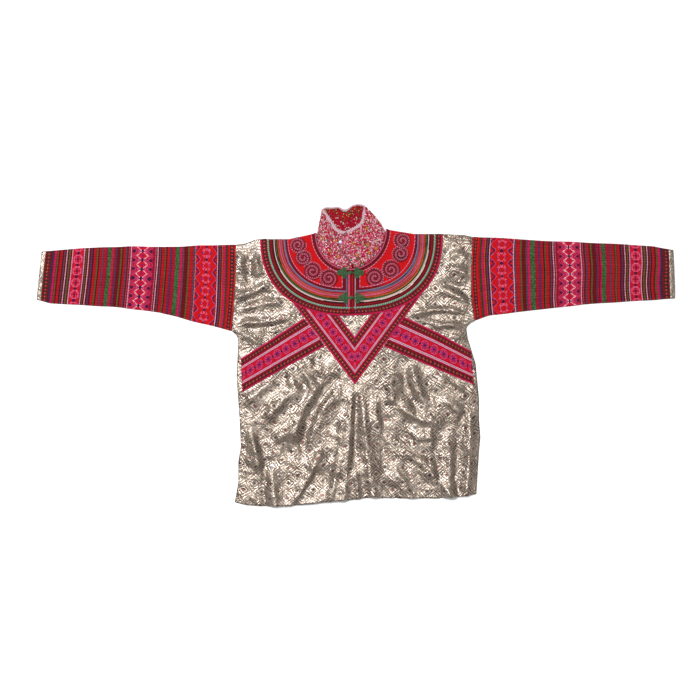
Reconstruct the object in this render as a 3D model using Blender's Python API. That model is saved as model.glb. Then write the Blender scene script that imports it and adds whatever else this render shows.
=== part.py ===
"""Embroidered pull-over jacket, laid out flat on its back.

Metres, +Z up: X runs along the sleeves, Y from hem to collar, Z away from the surface under it.
The origin is the middle of the jacket's box, on that surface. The tables below are in millimetres.
"""

import math
from collections import namedtuple

import bmesh
import bpy

MM = 0.001

# Layers, from the surface up
WALL = 1.2  # one layer of body or sleeve cloth
GAP = 0.3  # between pieces that touch or are sewn together
YOKE_WALL = 1.8  # the yoke is backed, so it is stiffer and thicker
TRIM_WALL = 1.2  # bands, tab and scrolls sewn on top
FRONT_UNDER = WALL + GAP
FRONT_TOP = FRONT_UNDER + WALL
YOKE_TOP = FRONT_UNDER + YOKE_WALL
BAND_UNDER = FRONT_TOP + GAP

# Body outline, seen from the front: x, y of the points that its shape needs
LEFT_SHOULDER = ((-230, 265), (-255, 255.5))
LEFT_SIDE = ((-275, 48), (-270, 33), (-274, -50), (-267, -148), (-264, -212), (-270, -245), (-278, -338))
HEM = ((-248, -345), (-203, -347.75), (-158, -347), (-103, -342), (-22, -334), (30, -327), (189, -329))
RIGHT_SIDE = ((277, -319), (283, -222), (286, -190), (283, -100), (275, -19), (257, 39), (254, 62), (263, 75))
RIGHT_SHOULDER = ((252, 275.5), (215, 277.5))

# Oval outlines: centre, half width, drop to the lowest point, rise of the right end over the centre,
# and how full each half is: 2 is an ellipse, and more comes nearer to a rounded square
Oval = namedtuple("Oval", "x y half_width drop tilt left_fullness right_fullness", defaults=(2, 2))
YOKE_EDGE = Oval(-10, 272, 209, 181, 6, 2.25, 2.5)
YOKE_NECK = Oval(-11, 283.5, 84, 90, 4.5)
YOKE_BACK_NECK = Oval(-11, 283.5, 84, 22, 4.5)
PIPING_LINE = Oval(-11, 283.5, 81.3, 87.3, 4.5)
COLLAR_SEAM = Oval(-11, 283.5, 78.5, 84.5, 4.5)
SLIT_LEFT = -21.0
SLIT_RIGHT = -0.5
SLIT_END = 105.0

# The stitched V on the chest: outer point, inner point, how far each arm goes out to the yoke
V_POINT = (-2, -68)
V_LEFT_ARM = (-139, 112)
V_RIGHT_ARM = (126, 105)
V_INNER_POINT = (0, 47)

# Bands from the V to each side: corners, from the inner top one round by the outer edge
LEFT_BAND = ((-119, 84), (-264, -9), (-261.5, -85), (-71, 21))
RIGHT_BAND = ((112, 87), (176, 57), (265.5, 8), (271, -68), (64, 20))

# Folds of the lower front: ridge from start by middle to end, half width and height
Fold = namedtuple("Fold", "x0 y0 x1 y1 x2 y2 half_width height")
FOLDS = (
    Fold(-46, -96, -64, -148, -132, -226, 21, 7.0),
    Fold(-158, -60, -150, -100, -128, -150, 18, 4.5),
    Fold(-238, -160, -209, -222, -215, -312, 20, 5.5),
    Fold(-80, -215, -110, -268, -146, -330, 20, 5.0),
    Fold(-4, -110, -3, -210, -28, -345, 22, 5.0),
    Fold(22, -110, 30, -220, 42, -345, 17, 4.0),
    Fold(45, -140, 96, -212, 190, -268, 21, 5.5),
    Fold(128, -30, 140, -96, 166, -150, 22, 7.0),
    Fold(196, -146, 222, -150, 246, -142, 17, 4.5),
    Fold(250, -130, 236, -222, 233, -330, 18, 5.5),
    Fold(183, -205, 188, -250, 197, -315, 17, 4.5),
    Fold(92, -262, 86, -300, 96, -345, 16, 3.5),
)
FLAT_MARGIN = 25  # the cloth stays flat this close to the trims sewn on it
EDGE_FADE = 24  # folds die out this close to the side seams

# Sleeves: edges of the flattened tube, at a distance out from the shoulder seam
SleeveRow = namedtuple("SleeveRow", "out top bottom")
Sleeve = namedtuple("Sleeve", "side seam_top seam_bottom bow cuff_top cuff_bottom rows")
SLEEVES = (
    Sleeve("left", -276.5, -287, 4, -722, -733.5, (
        SleeveRow(0, 253.5, 55), SleeveRow(35, 253, 64), SleeveRow(95, 251, 79), SleeveRow(165, 248, 98),
        SleeveRow(250, 249.5, 109), SleeveRow(350, 246, 115), SleeveRow(415, 240, 119), SleeveRow(446, 238, 127),
    )),
    Sleeve("right", 270, 274, -6, 729.6, 733.5, (
        SleeveRow(0, 271.5, 79), SleeveRow(35, 270, 91), SleeveRow(95, 267, 98), SleeveRow(165, 263, 105),
        SleeveRow(250, 258.5, 116.5), SleeveRow(350, 254, 123), SleeveRow(415, 250, 126), SleeveRow(459, 241.5, 130),
    )),
)
SLEEVE_CROWN = 2.4  # how far the upper layer bows up over the lower one
FOLD_INSET = 0.03  # share of the width in which the tube turns over at an edge
ACROSS = (0.18, 0.34, 0.5, 0.66, 0.82)

# The strips that a sleeve is pieced from, as shares of its length
Strip = namedtuple("Strip", "name start end material")
STRIPS = (
    Strip("shoulder_ribbon", 0.000, 0.035, "ribbon"),
    Strip("upper_stripes", 0.035, 0.096, "stripes"),
    Strip("upper_motif", 0.096, 0.206, "motif"),
    Strip("middle_stripes", 0.206, 0.420, "stripes"),
    Strip("middle_motif", 0.420, 0.533, "motif"),
    Strip("lower_stripes", 0.533, 0.784, "stripes"),
    Strip("lower_motif", 0.784, 0.840, "motif"),
    Strip("cuff_stripes", 0.840, 0.947, "stripes"),
    Strip("cuff_ribbon", 0.947, 0.977, "ribbon"),
    Strip("cuff_binding", 0.977, 1.000, "brocade"),
)

# Collar, a tall band that has fallen flat: foot on the neck seam, top edge
COLLAR_WALL = 1.5
COLLAR_LINING_UNDER = COLLAR_WALL + GAP
COLLAR_LINING_WALL = 1.0
LEFT_LOBE_UNDER = COLLAR_LINING_UNDER + COLLAR_LINING_WALL + GAP
RIGHT_LOBE_UNDER = LEFT_LOBE_UNDER + COLLAR_WALL + GAP
COLLAR_CROWN = 1.8
LAPPED_SHARE = 0.45  # share of the left lobe that the right one covers, where it lies flat
COLLAR_LEFT_CORNER = (-77.5, 333)
COLLAR_RIGHT_CORNER = (18, 343.9)
COLLAR_MEET = (-23, 281.5)
BINDING_RADIUS = 1.3
PIPING_RADIUS = 1.5

# Frog fasteners: the two knots and the ball between them
KNOT_RADIUS = 7.6  # middle line of the three-lobed loop
KNOT_LOBE = 2.0
KNOT_CORD = 2.1
BALL_RADIUS = 4.6
Frog = namedtuple("Frog", "name left_x right_x ball_x y")
FROGS = (
    Frog("upper", -30, 8, -10.9, 184),
    Frog("lower", -27.5, 8, -10.5, 131),
)

# Coiled scrolls on each side of the yoke: x, y, radius of the backing disc
SCROLLS = {
    "left": ((-133, 252, 15.5), (-122, 221, 15.5), (-99, 190, 18.5), (-62, 174, 18.5)),
    "right": ((107, 264, 16.5), (103, 230, 16.5), (82, 195, 19.0), (44, 178, 18.5)),
}

# Base colour, roughness and metallic value of each material
MATERIALS = {
    "brocade": ((0.50, 0.45, 0.39), 0.38, 0.35),
    "ribbon": ((0.30, 0.05, 0.03), 0.85, 0.0),
    "stripes": ((0.38, 0.05, 0.06), 0.90, 0.0),
    "motif": ((0.55, 0.06, 0.13), 0.90, 0.0),
    "yoke": ((0.56, 0.01, 0.01), 0.80, 0.0),
    "band": ((0.60, 0.03, 0.08), 0.85, 0.0),
    "scroll": ((0.75, 0.10, 0.20), 0.70, 0.0),
    "collar": ((0.75, 0.22, 0.36), 0.45, 0.0),
    "lining": ((0.42, 0.02, 0.02), 0.60, 0.0),
    "edging": ((0.62, 0.30, 0.46), 0.60, 0.0),
    "cord": ((0.07, 0.24, 0.09), 0.70, 0.0),
    "pearl": ((0.80, 0.72, 0.66), 0.30, 0.0),
}

WIDE_CURVE_STEPS = 28
CELL_X = 17
CELL_Y = 24


def clear_scene():
    """Removes what the file opened with."""
    for old in list(bpy.data.objects):
        bpy.data.objects.remove(old, do_unlink=True)


def make_material(name):
    """A Principled BSDF with the colour and finish in MATERIALS."""
    colour, roughness, metallic = MATERIALS[name]
    material = bpy.data.materials.new(name)
    material.use_nodes = True
    shader = material.node_tree.nodes["Principled BSDF"]
    shader.inputs["Base Color"].default_value = (*colour, 1)
    shader.inputs["Roughness"].default_value = roughness
    shader.inputs["Metallic"].default_value = metallic
    material.diffuse_color = (*colour, 1)
    return material


def material_for(name):
    """The material of this name, made the first time that it is asked for."""
    return bpy.data.materials.get(name) or make_material(name)


def finish_mesh(name, shape, material):
    """Turns a bmesh in millimetres into an object in metres, with its faces pointing out."""
    bmesh.ops.recalc_face_normals(shape, faces=shape.faces)
    bmesh.ops.scale(shape, vec=(MM, MM, MM), verts=shape.verts)
    mesh = bpy.data.meshes.new(name)
    shape.to_mesh(mesh)
    shape.free()
    mesh.shade_smooth()
    mesh.set_sharp_from_angle(angle=math.radians(35))
    mesh.materials.append(material_for(material))
    piece = bpy.data.objects.new(name, mesh)
    bpy.context.scene.collection.objects.link(piece)
    return piece


def on_oval(oval, angle, grow=0.0):
    """The oval's point at an angle in degrees: 180 is its left end, 270 its lowest point, 360 its right end."""
    cosine, sine = math.cos(math.radians(angle)), math.sin(math.radians(angle))
    power = 2 / (oval.left_fullness if cosine < 0 else oval.right_fullness)
    across = math.copysign(abs(cosine) ** power, cosine)
    up = math.copysign(abs(sine) ** power, sine)
    x = oval.x + (oval.half_width + grow) * across
    y = oval.y + oval.tilt * across + (oval.drop + grow) * up
    return x, y


def angle_at(oval, x):
    """The angle at which the lower half of the oval passes this x."""
    across = (x - oval.x) / oval.half_width
    power = (oval.left_fullness if across < 0 else oval.right_fullness) / 2
    return 360 - math.degrees(math.acos(math.copysign(abs(across) ** power, across)))


def oval_run(oval, start, end, steps, grow=0.0):
    """Points along the oval from one angle to another."""
    return [on_oval(oval, start + (end - start) * i / steps, grow) for i in range(steps + 1)]


def distance_to_line(x, y, start, end):
    """Distance from a point to a straight stretch, and how far along it the nearest point is, from 0 to 1."""
    dx = end[0] - start[0]
    dy = end[1] - start[1]
    along = ((x - start[0]) * dx + (y - start[1]) * dy) / (dx * dx + dy * dy)
    along = min(1.0, max(0.0, along))
    return math.hypot(x - start[0] - along * dx, y - start[1] - along * dy), along


def gap_outside(outline, x, y):
    """Distance from a point to an outline, or 0 inside it."""
    inside = False
    nearest = math.inf
    for (ax, ay), (bx, by) in zip(outline, outline[1:] + outline[:1]):
        nearest = min(nearest, distance_to_line(x, y, (ax, ay), (bx, by))[0])
        if (ay > y) != (by > y) and x < ax + (y - ay) * (bx - ax) / (by - ay):
            inside = not inside
    return 0.0 if inside else nearest


def smooth_step(value):
    """0 below 0, 1 above 1, and a soft S between."""
    value = min(1.0, max(0.0, value))
    return value * value * (3 - 2 * value)


def fold_height(fold, x, y):
    """Height of one ridge: a bell across it, fading in over its first and last fifth."""
    first, part_1 = distance_to_line(x, y, (fold.x0, fold.y0), (fold.x1, fold.y1))
    second, part_2 = distance_to_line(x, y, (fold.x1, fold.y1), (fold.x2, fold.y2))
    away, along = (first, part_1 / 2) if first < second else (second, 0.5 + part_2 / 2)
    fade_out = 1.0 if fold.y2 < -300 else smooth_step((1 - along) / 0.2)
    return fold.height * math.exp(-((away / fold.half_width) ** 2)) * smooth_step(along / 0.2) * fade_out


def v_outline():
    """The V, with its arms cut along the yoke's edge."""
    clear = GAP + 0.2
    outer_left, outer_right = angle_at(YOKE_EDGE, V_LEFT_ARM[0]), angle_at(YOKE_EDGE, V_RIGHT_ARM[0])
    inner_left, inner_right = angle_at(YOKE_EDGE, -34), angle_at(YOKE_EDGE, 32)
    right_arm = oval_run(YOKE_EDGE, outer_right, inner_right, 5, clear)
    left_arm = oval_run(YOKE_EDGE, inner_left, outer_left, 5, clear)
    return [V_POINT, *right_arm, V_INNER_POINT, *left_arm]


def armhole(sleeve):
    """The body's edge along a sleeve seam, from the shoulder to the underarm."""
    toward_body = 1.5 * GAP if sleeve.side == "left" else -1.5 * GAP
    places = [sleeve_point(sleeve, 0, down) for down in (0.0, FOLD_INSET, *ACROSS, 1 - FOLD_INSET, 1.0)]
    return [(x + toward_body, y) for x, y in places]


def body_outline():
    """The panel from the yoke's left end round by the hem to its right end."""
    left, right = (armhole(sleeve) for sleeve in SLEEVES)
    return [
        *LEFT_SHOULDER, *left, *LEFT_SIDE, *HEM, *RIGHT_SIDE, *right[::-1], *RIGHT_SHOULDER,
        *oval_run(YOKE_EDGE, 360, 180, WIDE_CURVE_STEPS, GAP),
    ]


def front_rise(x, y, trims, seams):
    """How far the front stands up in its folds. It is flat next to trims, and low at the side seams."""
    rise = max(fold_height(fold, x, y) for fold in FOLDS)
    clear = min(gap_outside(outline, x, y) for outline in trims)
    to_seam = min(distance_to_line(x, y, start, end)[0] for start, end in seams)
    return rise * smooth_step((clear - FLAT_MARGIN) / 22) * smooth_step(to_seam / EDGE_FADE)


def cut_into_cells(shape):
    """Cuts a flat outline along a grid, so that it can be folded."""
    for axis, step in ((0, CELL_X), (1, CELL_Y)):
        normal = (1, 0, 0) if axis == 0 else (0, 1, 0)
        low = min(v.co[axis] for v in shape.verts)
        high = max(v.co[axis] for v in shape.verts)
        for i in range(math.ceil(low / step), math.floor(high / step) + 1):
            where = (i * step + 0.37, 0, 0) if axis == 0 else (0, i * step + 0.37, 0)
            everything = shape.verts[:] + shape.edges[:] + shape.faces[:]
            bmesh.ops.bisect_plane(shape, geom=everything, plane_co=where, plane_no=normal, dist=1e-4)


def panel(name, outline, under, wall, material, rise=None):
    """A cut piece of cloth of one thickness: an outline, folded by rise(x, y) where that is given."""
    shape = bmesh.new()
    shape.faces.new([shape.verts.new((x, y, 0)) for x, y in outline])
    shape.normal_update()
    if rise:
        cut_into_cells(shape)
    bmesh.ops.triangulate(shape, faces=shape.faces[:], ngon_method="BEAUTY")
    for corner in shape.verts:
        corner.co.z = under + (rise(corner.co.x, corner.co.y) if rise else 0)
    grown = bmesh.ops.extrude_face_region(shape, geom=shape.faces[:], use_keep_orig=True)
    upper = [v for v in grown["geom"] if isinstance(v, bmesh.types.BMVert)]
    bmesh.ops.translate(shape, verts=upper, vec=(0, 0, wall))
    return finish_mesh(name, shape, material)


def loft(name, sections, material, cyclic=False):
    """A solid through closed sections with the same number of points. An open run gets a cap at each end."""
    shape = bmesh.new()
    rings = [[shape.verts.new(point) for point in section] for section in sections]
    for first, second in zip(rings, rings[1:] + (rings[:1] if cyclic else [])):
        for i in range(len(first)):
            j = (i + 1) % len(first)
            shape.faces.new((first[i], first[j], second[j], second[i]))
    if not cyclic:
        shape.faces.new(rings[0])
        shape.faces.new(rings[-1])
    bmesh.ops.triangulate(shape, faces=shape.faces[:])
    return finish_mesh(name, shape, material)


def cord(name, points, radius, material, closed=False):
    """A round cord along points, as a bevelled curve."""
    curve = bpy.data.curves.new(name, "CURVE")
    curve.dimensions = "3D"
    curve.bevel_depth = radius * MM
    curve.bevel_resolution = 1
    curve.use_fill_caps = not closed
    spline = curve.splines.new("POLY")
    spline.points.add(len(points) - 1)
    for spot, (x, y, z) in zip(spline.points, points):
        spot.co = (x * MM, y * MM, z * MM, 1)
    spline.use_cyclic_u = closed
    curve.materials.append(material_for(material))
    piece = bpy.data.objects.new(name, curve)
    bpy.context.scene.collection.objects.link(piece)
    return piece


Station = namedtuple("Station", "foot top outside inside inset crown")


def folded_band(name, stations, material):
    """A band with one wall that goes round on itself.

    Each station gives its foot and its top edge, and the height of its outer and of its inner face.
    inset moves the inner face in from a fold. The crown bows the cloth up between foot and top.
    """
    steps = (0.0, 0.35, 0.7, 1.0) if any(station.crown for station in stations) else (0.0, 1.0)
    sections = []
    for foot, top, outside, inside, inset, crown in stations:
        face = []
        for at in steps:
            x = foot[0] + (top[0] - foot[0]) * at
            y = foot[1] + (top[1] - foot[1]) * at
            face.append((x, y, crown * math.sin(math.pi * at)))
        outer = [(x, y, outside + lift) for x, y, lift in face]
        inner = [(x + inset[0], y + inset[1], inside + lift) for x, y, lift in face]
        sections.append(outer + inner[::-1])
    return loft(name, sections, material)


def make_body():
    """Back and front panels. The front is folded; the back lies flat."""
    trims = [
        oval_run(YOKE_EDGE, 180, 360, WIDE_CURVE_STEPS), v_outline(), list(LEFT_BAND), list(RIGHT_BAND),
    ]
    left, right = (armhole(sleeve) for sleeve in SLEEVES)
    edges = (*left, *LEFT_SIDE), (*RIGHT_SIDE, *right[::-1])
    seams = [stretch for edge in edges for stretch in zip(edge, edge[1:])]
    outline = body_outline()
    panel("back_panel", outline, 0, WALL, "brocade")
    panel("front_panel", outline, FRONT_UNDER, WALL, "brocade", lambda x, y: front_rise(x, y, trims, seams))


def make_yoke():
    """One round of cloth: from the slit over the left shoulder, round the back and over the right one."""
    front_z = (YOKE_TOP, FRONT_UNDER)
    back_z = (0.0, WALL)
    flat = (0, 0)
    folded = (0, -WALL)
    steps = 13
    stations = []
    for side, slit in ((180, SLIT_LEFT), (360, SLIT_RIGHT)):
        foot_start, top_start = angle_at(YOKE_NECK, slit), angle_at(YOKE_EDGE, slit)
        half = []
        for i in range(steps + 1):
            foot = on_oval(YOKE_NECK, foot_start + (side - foot_start) * i / steps)
            top = on_oval(YOKE_EDGE, top_start + (side - top_start) * i / steps)
            half.append(Station(foot, top, *front_z, folded if i == steps else flat, 0))
        stations.append(half)
    back = []
    for i in range(2 * steps + 1):
        angle = 180 + 180 * i / (2 * steps)
        foot, top = on_oval(YOKE_BACK_NECK, angle), on_oval(YOKE_EDGE, angle)
        back.append(Station(foot, top, *back_z, folded if i in (0, 2 * steps) else flat, 0))
    folded_band("yoke", stations[0] + back + stations[1][::-1], "yoke")


def make_slit():
    """The striped strip behind the chest slit, and the tab that closes its lower end."""
    left, right = SLIT_LEFT + GAP, SLIT_RIGHT - GAP
    neck = on_oval(YOKE_NECK, 270)[1] + 1
    strip = [(left, SLIT_END), (right, SLIT_END), (right, neck), (left, neck)]
    panel("slit_placket", strip, FRONT_UNDER, YOKE_WALL, "band")
    low = on_oval(YOKE_EDGE, angle_at(YOKE_EDGE, right))[1] + GAP
    tab = [(left, low), (right, low), (right, SLIT_END - GAP), (left, SLIT_END - GAP)]
    panel("slit_tab", tab, FRONT_UNDER, YOKE_WALL, "ribbon")


def make_chest_bands():
    """The V and the two side bands, sewn on the front panel."""
    panel("chevron_band", v_outline(), BAND_UNDER, TRIM_WALL, "band")
    panel("side_band_left", LEFT_BAND, BAND_UNDER, TRIM_WALL, "band")
    panel("side_band_right", RIGHT_BAND, BAND_UNDER, TRIM_WALL, "band")


def make_scrolls():
    """Backing discs of the coiled cord scrolls."""
    sides = 16
    for side, rows in SCROLLS.items():
        for number, (x, y, radius) in enumerate(rows, 1):
            turns = [2 * math.pi * i / sides for i in range(sides)]
            disc = [(x + radius * math.cos(turn), y + radius * math.sin(turn)) for turn in turns]
            panel(f"scroll_{side}_{number}", disc, YOKE_TOP + GAP, TRIM_WALL, "scroll")


def between(rows, column, out):
    """Value of one column of a table at a distance out, on straight lines between its rows."""
    for low, high in zip(rows, rows[1:]):
        if out <= high.out:
            share = (out - low.out) / (high.out - low.out)
            return getattr(low, column) * (1 - share) + getattr(high, column) * share
    return getattr(rows[-1], column)


def sleeve_point(sleeve, out, down, inset=0.0):
    """x, y on a sleeve: out from the shoulder seam, and down from 0 at its top edge to 1 at its bottom edge."""
    share = out / sleeve.rows[-1].out
    seam = sleeve.seam_top + (sleeve.seam_bottom - sleeve.seam_top) * down + sleeve.bow * 4 * down * (1 - down)
    cuff = sleeve.cuff_top + (sleeve.cuff_bottom - sleeve.cuff_top) * down
    top = between(sleeve.rows, "top", out) - inset
    bottom = between(sleeve.rows, "bottom", out) + inset
    return seam + (cuff - seam) * share, top + (bottom - top) * down


def make_sleeve_strip(sleeve, strip):
    """One strip of a sleeve: a flattened tube, flat below and bowed a little above."""
    length = sleeve.rows[-1].out
    start = strip.start * length + (GAP / 2 if strip.start else 0)
    end = strip.end * length - (GAP / 2 if strip.end < 1 else 0)
    outs = [start, *(row.out for row in sleeve.rows if start < row.out < end), end]
    lowest_top = 2 * WALL + 2 * GAP
    ring = [(0.0, None), *((down, "top") for down in (FOLD_INSET, *ACROSS, 1 - FOLD_INSET))]
    ring += [(1.0, None), *((down, "bottom") for down in (1 - FOLD_INSET, 0.5, FOLD_INSET))]
    sections = []
    for down, layer in ring:
        height = {"top": lowest_top + SLEEVE_CROWN * math.sin(math.pi * down), "bottom": 0.0, None: lowest_top / 2}
        wall = {"top": -WALL, "bottom": WALL, None: 0.0}[layer]
        inset = 0.0 if layer else 1.7 * WALL
        outer = [(*sleeve_point(sleeve, out, down), height[layer]) for out in outs]
        inner = [(*sleeve_point(sleeve, out, down, inset), height[layer] + wall) for out in outs]
        sections.append(outer + inner[::-1])
    loft(f"{sleeve.side}_{strip.name}", sections, strip.material, cyclic=True)


def left_lobe_edge(share):
    """Top edge of the left lobe, from the meeting point to the left corner."""
    (mx, my), (lx, ly) = COLLAR_MEET, COLLAR_LEFT_CORNER
    return mx + 4 + (lx - mx - 4) * share, my - 2 + (ly - my + 2) * share**2


def right_lobe_edge(share):
    """Top edge of the right lobe, from the right corner to the meeting point."""
    (mx, my), (rx, ry) = COLLAR_MEET, COLLAR_RIGHT_CORNER
    return rx + (mx - rx) * share**2.2, ry + (my - ry) * share**0.41


def back_edge(share):
    """Top edge of the collar's back, from the left corner to the right one."""
    (lx, ly), (rx, ry) = COLLAR_LEFT_CORNER, COLLAR_RIGHT_CORNER
    return lx + (rx - lx) * share, ly + (ry - ly) * share + 2 * math.sin(math.pi * share)


def make_collar():
    """The fallen collar band: left lobe, left fold, back, right fold and the right lobe that laps over."""
    left_fold = on_oval(COLLAR_SEAM, 184)
    right_fold = on_oval(COLLAR_SEAM, 356)
    left_z = (LEFT_LOBE_UNDER + COLLAR_WALL, LEFT_LOBE_UNDER)
    right_z = (RIGHT_LOBE_UNDER + COLLAR_WALL, RIGHT_LOBE_UNDER)
    back_z = (0.0, COLLAR_WALL)
    flat = (0, 0)
    steps = 7
    stations = []
    for i in range(steps + 1):
        share = i / steps
        foot = on_oval(COLLAR_SEAM, 272 + (184 - 272) * share)
        inset = (COLLAR_WALL, 0) if i == steps else flat
        bow = COLLAR_CROWN * smooth_step((share - LAPPED_SHARE) / 0.4)
        stations.append(Station(foot, left_lobe_edge(share), *left_z, inset, bow))
    for i in range(steps + 1):
        share = i / steps
        foot_x = left_fold[0] + (right_fold[0] - left_fold[0]) * share
        foot_y = left_fold[1] + (right_fold[1] - left_fold[1]) * share - 14 * math.sin(math.pi * share)
        inset = {0: (COLLAR_WALL, 0), steps: (-COLLAR_WALL, 0)}.get(i, flat)
        stations.append(Station((foot_x, foot_y), back_edge(share), *back_z, inset, 0))
    for i in range(steps + 1):
        share = i / steps
        foot = on_oval(COLLAR_SEAM, 356 + (278 - 356) * share)
        inset = (-COLLAR_WALL, 0) if i == 0 else flat
        stations.append(Station(foot, right_lobe_edge(share), *right_z, inset, COLLAR_CROWN))
    for foot, top in (((-13, 213), (-31, 274)), ((-24, 228), (-37.5, 264)), ((-33, 238), (-38.5, 256))):
        stations.append(Station(foot, top, *right_z, flat, COLLAR_CROWN))
    folded_band("collar", stations, "collar")


def make_collar_trims():
    """Beaded lining that shows in the opening, edge binding, neck piping and the small press stud."""
    lx, ly = COLLAR_LEFT_CORNER
    rx, ry = COLLAR_RIGHT_CORNER
    lining = [(lx + 3, ly - 2), (lx - 4, 282), (-11, 262), (58, 286), (rx - 2.5, ry - 2), (-29, 337)]
    panel("collar_lining", lining, COLLAR_LINING_UNDER, COLLAR_LINING_WALL, "lining")
    off = BINDING_RADIUS + 4 * GAP
    left_z = LEFT_LOBE_UNDER + BINDING_RADIUS
    right_z = RIGHT_LOBE_UNDER + BINDING_RADIUS
    runs = (
        (left_lobe_edge, (0.2, 0.4, 0.6, 0.8), (0.7 * off, 0.7 * off), left_z),
        (left_lobe_edge, (1.0,), (0.5 * off, off), left_z),
        (back_edge, (0.0, 0.25, 0.5, 0.75, 1.0), (0, off), BINDING_RADIUS + GAP / 3),
        (right_lobe_edge, (0.0,), (-off, 1.2 * off), right_z),
        (right_lobe_edge, (0.07, 0.25, 0.45, 0.6, 0.8), (-1.2 * off, 0.6 * off), right_z),
    )
    route = []
    for edge, shares, (aside, up), height in runs:
        route += [(edge(share)[0] + aside, edge(share)[1] + up, height) for share in shares]
    cord("collar_binding", route, BINDING_RADIUS, "edging")
    ring = oval_run(PIPING_LINE, 178, 362, WIDE_CURVE_STEPS)
    cord("neck_piping", [(x, y, YOKE_TOP - 0.4) for x, y in ring], PIPING_RADIUS, "edging")
    stud = bmesh.new()
    bmesh.ops.create_uvsphere(stud, u_segments=10, v_segments=6, radius=3)
    bmesh.ops.scale(stud, vec=(1, 1, 0.6), verts=stud.verts)
    lift = RIGHT_LOBE_UNDER + COLLAR_WALL + COLLAR_CROWN + GAP + 1.8
    bmesh.ops.translate(stud, vec=(-31, 259, lift), verts=stud.verts)
    finish_mesh("collar_stud", stud, "pearl")


def make_frogs():
    """Three-lobed knots of cord on both sides of the slit, and a ball between them."""
    around = 18
    for frog in FROGS:
        for side, x in (("left", frog.left_x), ("right", frog.right_x)):
            facing = math.pi if side == "left" else 0.0
            loop = []
            for i in range(around):
                turn = 2 * math.pi * i / around
                radius = KNOT_RADIUS + KNOT_LOBE * math.cos(3 * turn)
                loop_x = x + radius * math.cos(turn + facing)
                loop_y = frog.y + radius * math.sin(turn + facing)
                loop.append((loop_x, loop_y, YOKE_TOP + GAP + KNOT_CORD))
            cord(f"frog_knot_{frog.name}_{side}", loop, KNOT_CORD, "cord", closed=True)
        ball = bmesh.new()
        bmesh.ops.create_uvsphere(ball, u_segments=12, v_segments=8, radius=BALL_RADIUS)
        lift = YOKE_TOP + GAP + BALL_RADIUS
        bmesh.ops.translate(ball, vec=(frog.ball_x, frog.y, lift), verts=ball.verts)
        finish_mesh(f"frog_button_{frog.name}", ball, "cord")


def build_jacket():
    clear_scene()
    make_body()
    make_yoke()
    make_slit()
    make_chest_bands()
    make_scrolls()
    for sleeve in SLEEVES:
        for strip in STRIPS:
            make_sleeve_strip(sleeve, strip)
    make_collar()
    make_collar_trims()
    make_frogs()


build_jacket()
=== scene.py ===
"""Looks of the embroidered pull-over jacket, laid out flat and seen from straight above."""

import bpy
import numpy as np
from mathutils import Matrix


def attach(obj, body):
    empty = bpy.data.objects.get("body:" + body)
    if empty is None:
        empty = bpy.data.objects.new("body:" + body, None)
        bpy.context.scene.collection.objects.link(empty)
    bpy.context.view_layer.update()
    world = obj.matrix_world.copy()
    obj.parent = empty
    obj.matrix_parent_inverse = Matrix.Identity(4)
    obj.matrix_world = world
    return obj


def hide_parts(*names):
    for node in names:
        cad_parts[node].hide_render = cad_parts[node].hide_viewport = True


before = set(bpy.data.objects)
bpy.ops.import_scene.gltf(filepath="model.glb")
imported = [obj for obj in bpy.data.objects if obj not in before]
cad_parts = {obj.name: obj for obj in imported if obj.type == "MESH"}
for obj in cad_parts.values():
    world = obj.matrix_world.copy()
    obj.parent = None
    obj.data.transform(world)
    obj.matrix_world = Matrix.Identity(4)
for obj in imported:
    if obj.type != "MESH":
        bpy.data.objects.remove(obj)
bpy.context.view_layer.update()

# ------------------------------------------------------------
# Table top, camera and studio light.
# The jacket lies on plain white paper, under a strong soft box at its upper left and a wide weak one.
# ------------------------------------------------------------
MM = 0.001
CAMERA_AIM = (-0.0133, 0.0113)
VIEW_WIDTH = 1.61
LENS = 85
SENSOR = 36
TABLE_REACH = 6.0
TABLE_DROP = 0.0002

floor_mesh = bpy.data.meshes.new("table_top")
floor_corners = [(TABLE_REACH * x, TABLE_REACH * y, 0) for x, y in ((-1, -1), (1, -1), (1, 1), (-1, 1))]
floor_mesh.from_pydata(floor_corners, [], [(0, 1, 2, 3)])
table_top = bpy.data.objects.new("table_top", floor_mesh)
table_top.location.z = -TABLE_DROP
bpy.context.scene.collection.objects.link(table_top)
paper = bpy.data.materials.new("white_paper")
paper.use_nodes = True
for socket, value in (("Base Color", (0.93, 0.93, 0.93, 1)), ("Roughness", 0.9), ("Specular IOR Level", 0.1)):
    paper.node_tree.nodes["Principled BSDF"].inputs[socket].default_value = value
floor_mesh.materials.append(paper)

camera = bpy.data.cameras.new("overhead")
camera.lens = LENS
camera.sensor_width = SENSOR
camera.clip_end = 50
overhead = bpy.data.objects.new("overhead", camera)
overhead.location = (*CAMERA_AIM, VIEW_WIDTH * LENS / SENSOR)
bpy.context.scene.collection.objects.link(overhead)
bpy.context.scene.camera = overhead
bpy.context.scene.view_settings.view_transform = "Standard"

STUDIO_FILL = 0.2
SOFT_BOXES = {
    # place: where it hangs, side of the square, power in watts
    "key": ((-1.35, 1.5, 4.6), 1.2, 262),
    "top": ((0.9, -0.9, 4.9), 2.2, 56),
}
for label, (place, side, power) in SOFT_BOXES.items():
    lamp = bpy.data.lights.new(label, "AREA")
    lamp.size = side
    lamp.energy = power
    holder = bpy.data.objects.new(label, lamp)
    holder.location = place
    holder.rotation_euler = holder.location.to_track_quat("Z", "Y").to_euler()
    bpy.context.scene.collection.objects.link(holder)
world = bpy.data.worlds.new("studio")
world.use_nodes = True
world.node_tree.nodes["Background"].inputs["Color"].default_value = (1, 1, 1, 1)
world.node_tree.nodes["Background"].inputs["Strength"].default_value = STUDIO_FILL
bpy.context.scene.world = world

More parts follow.
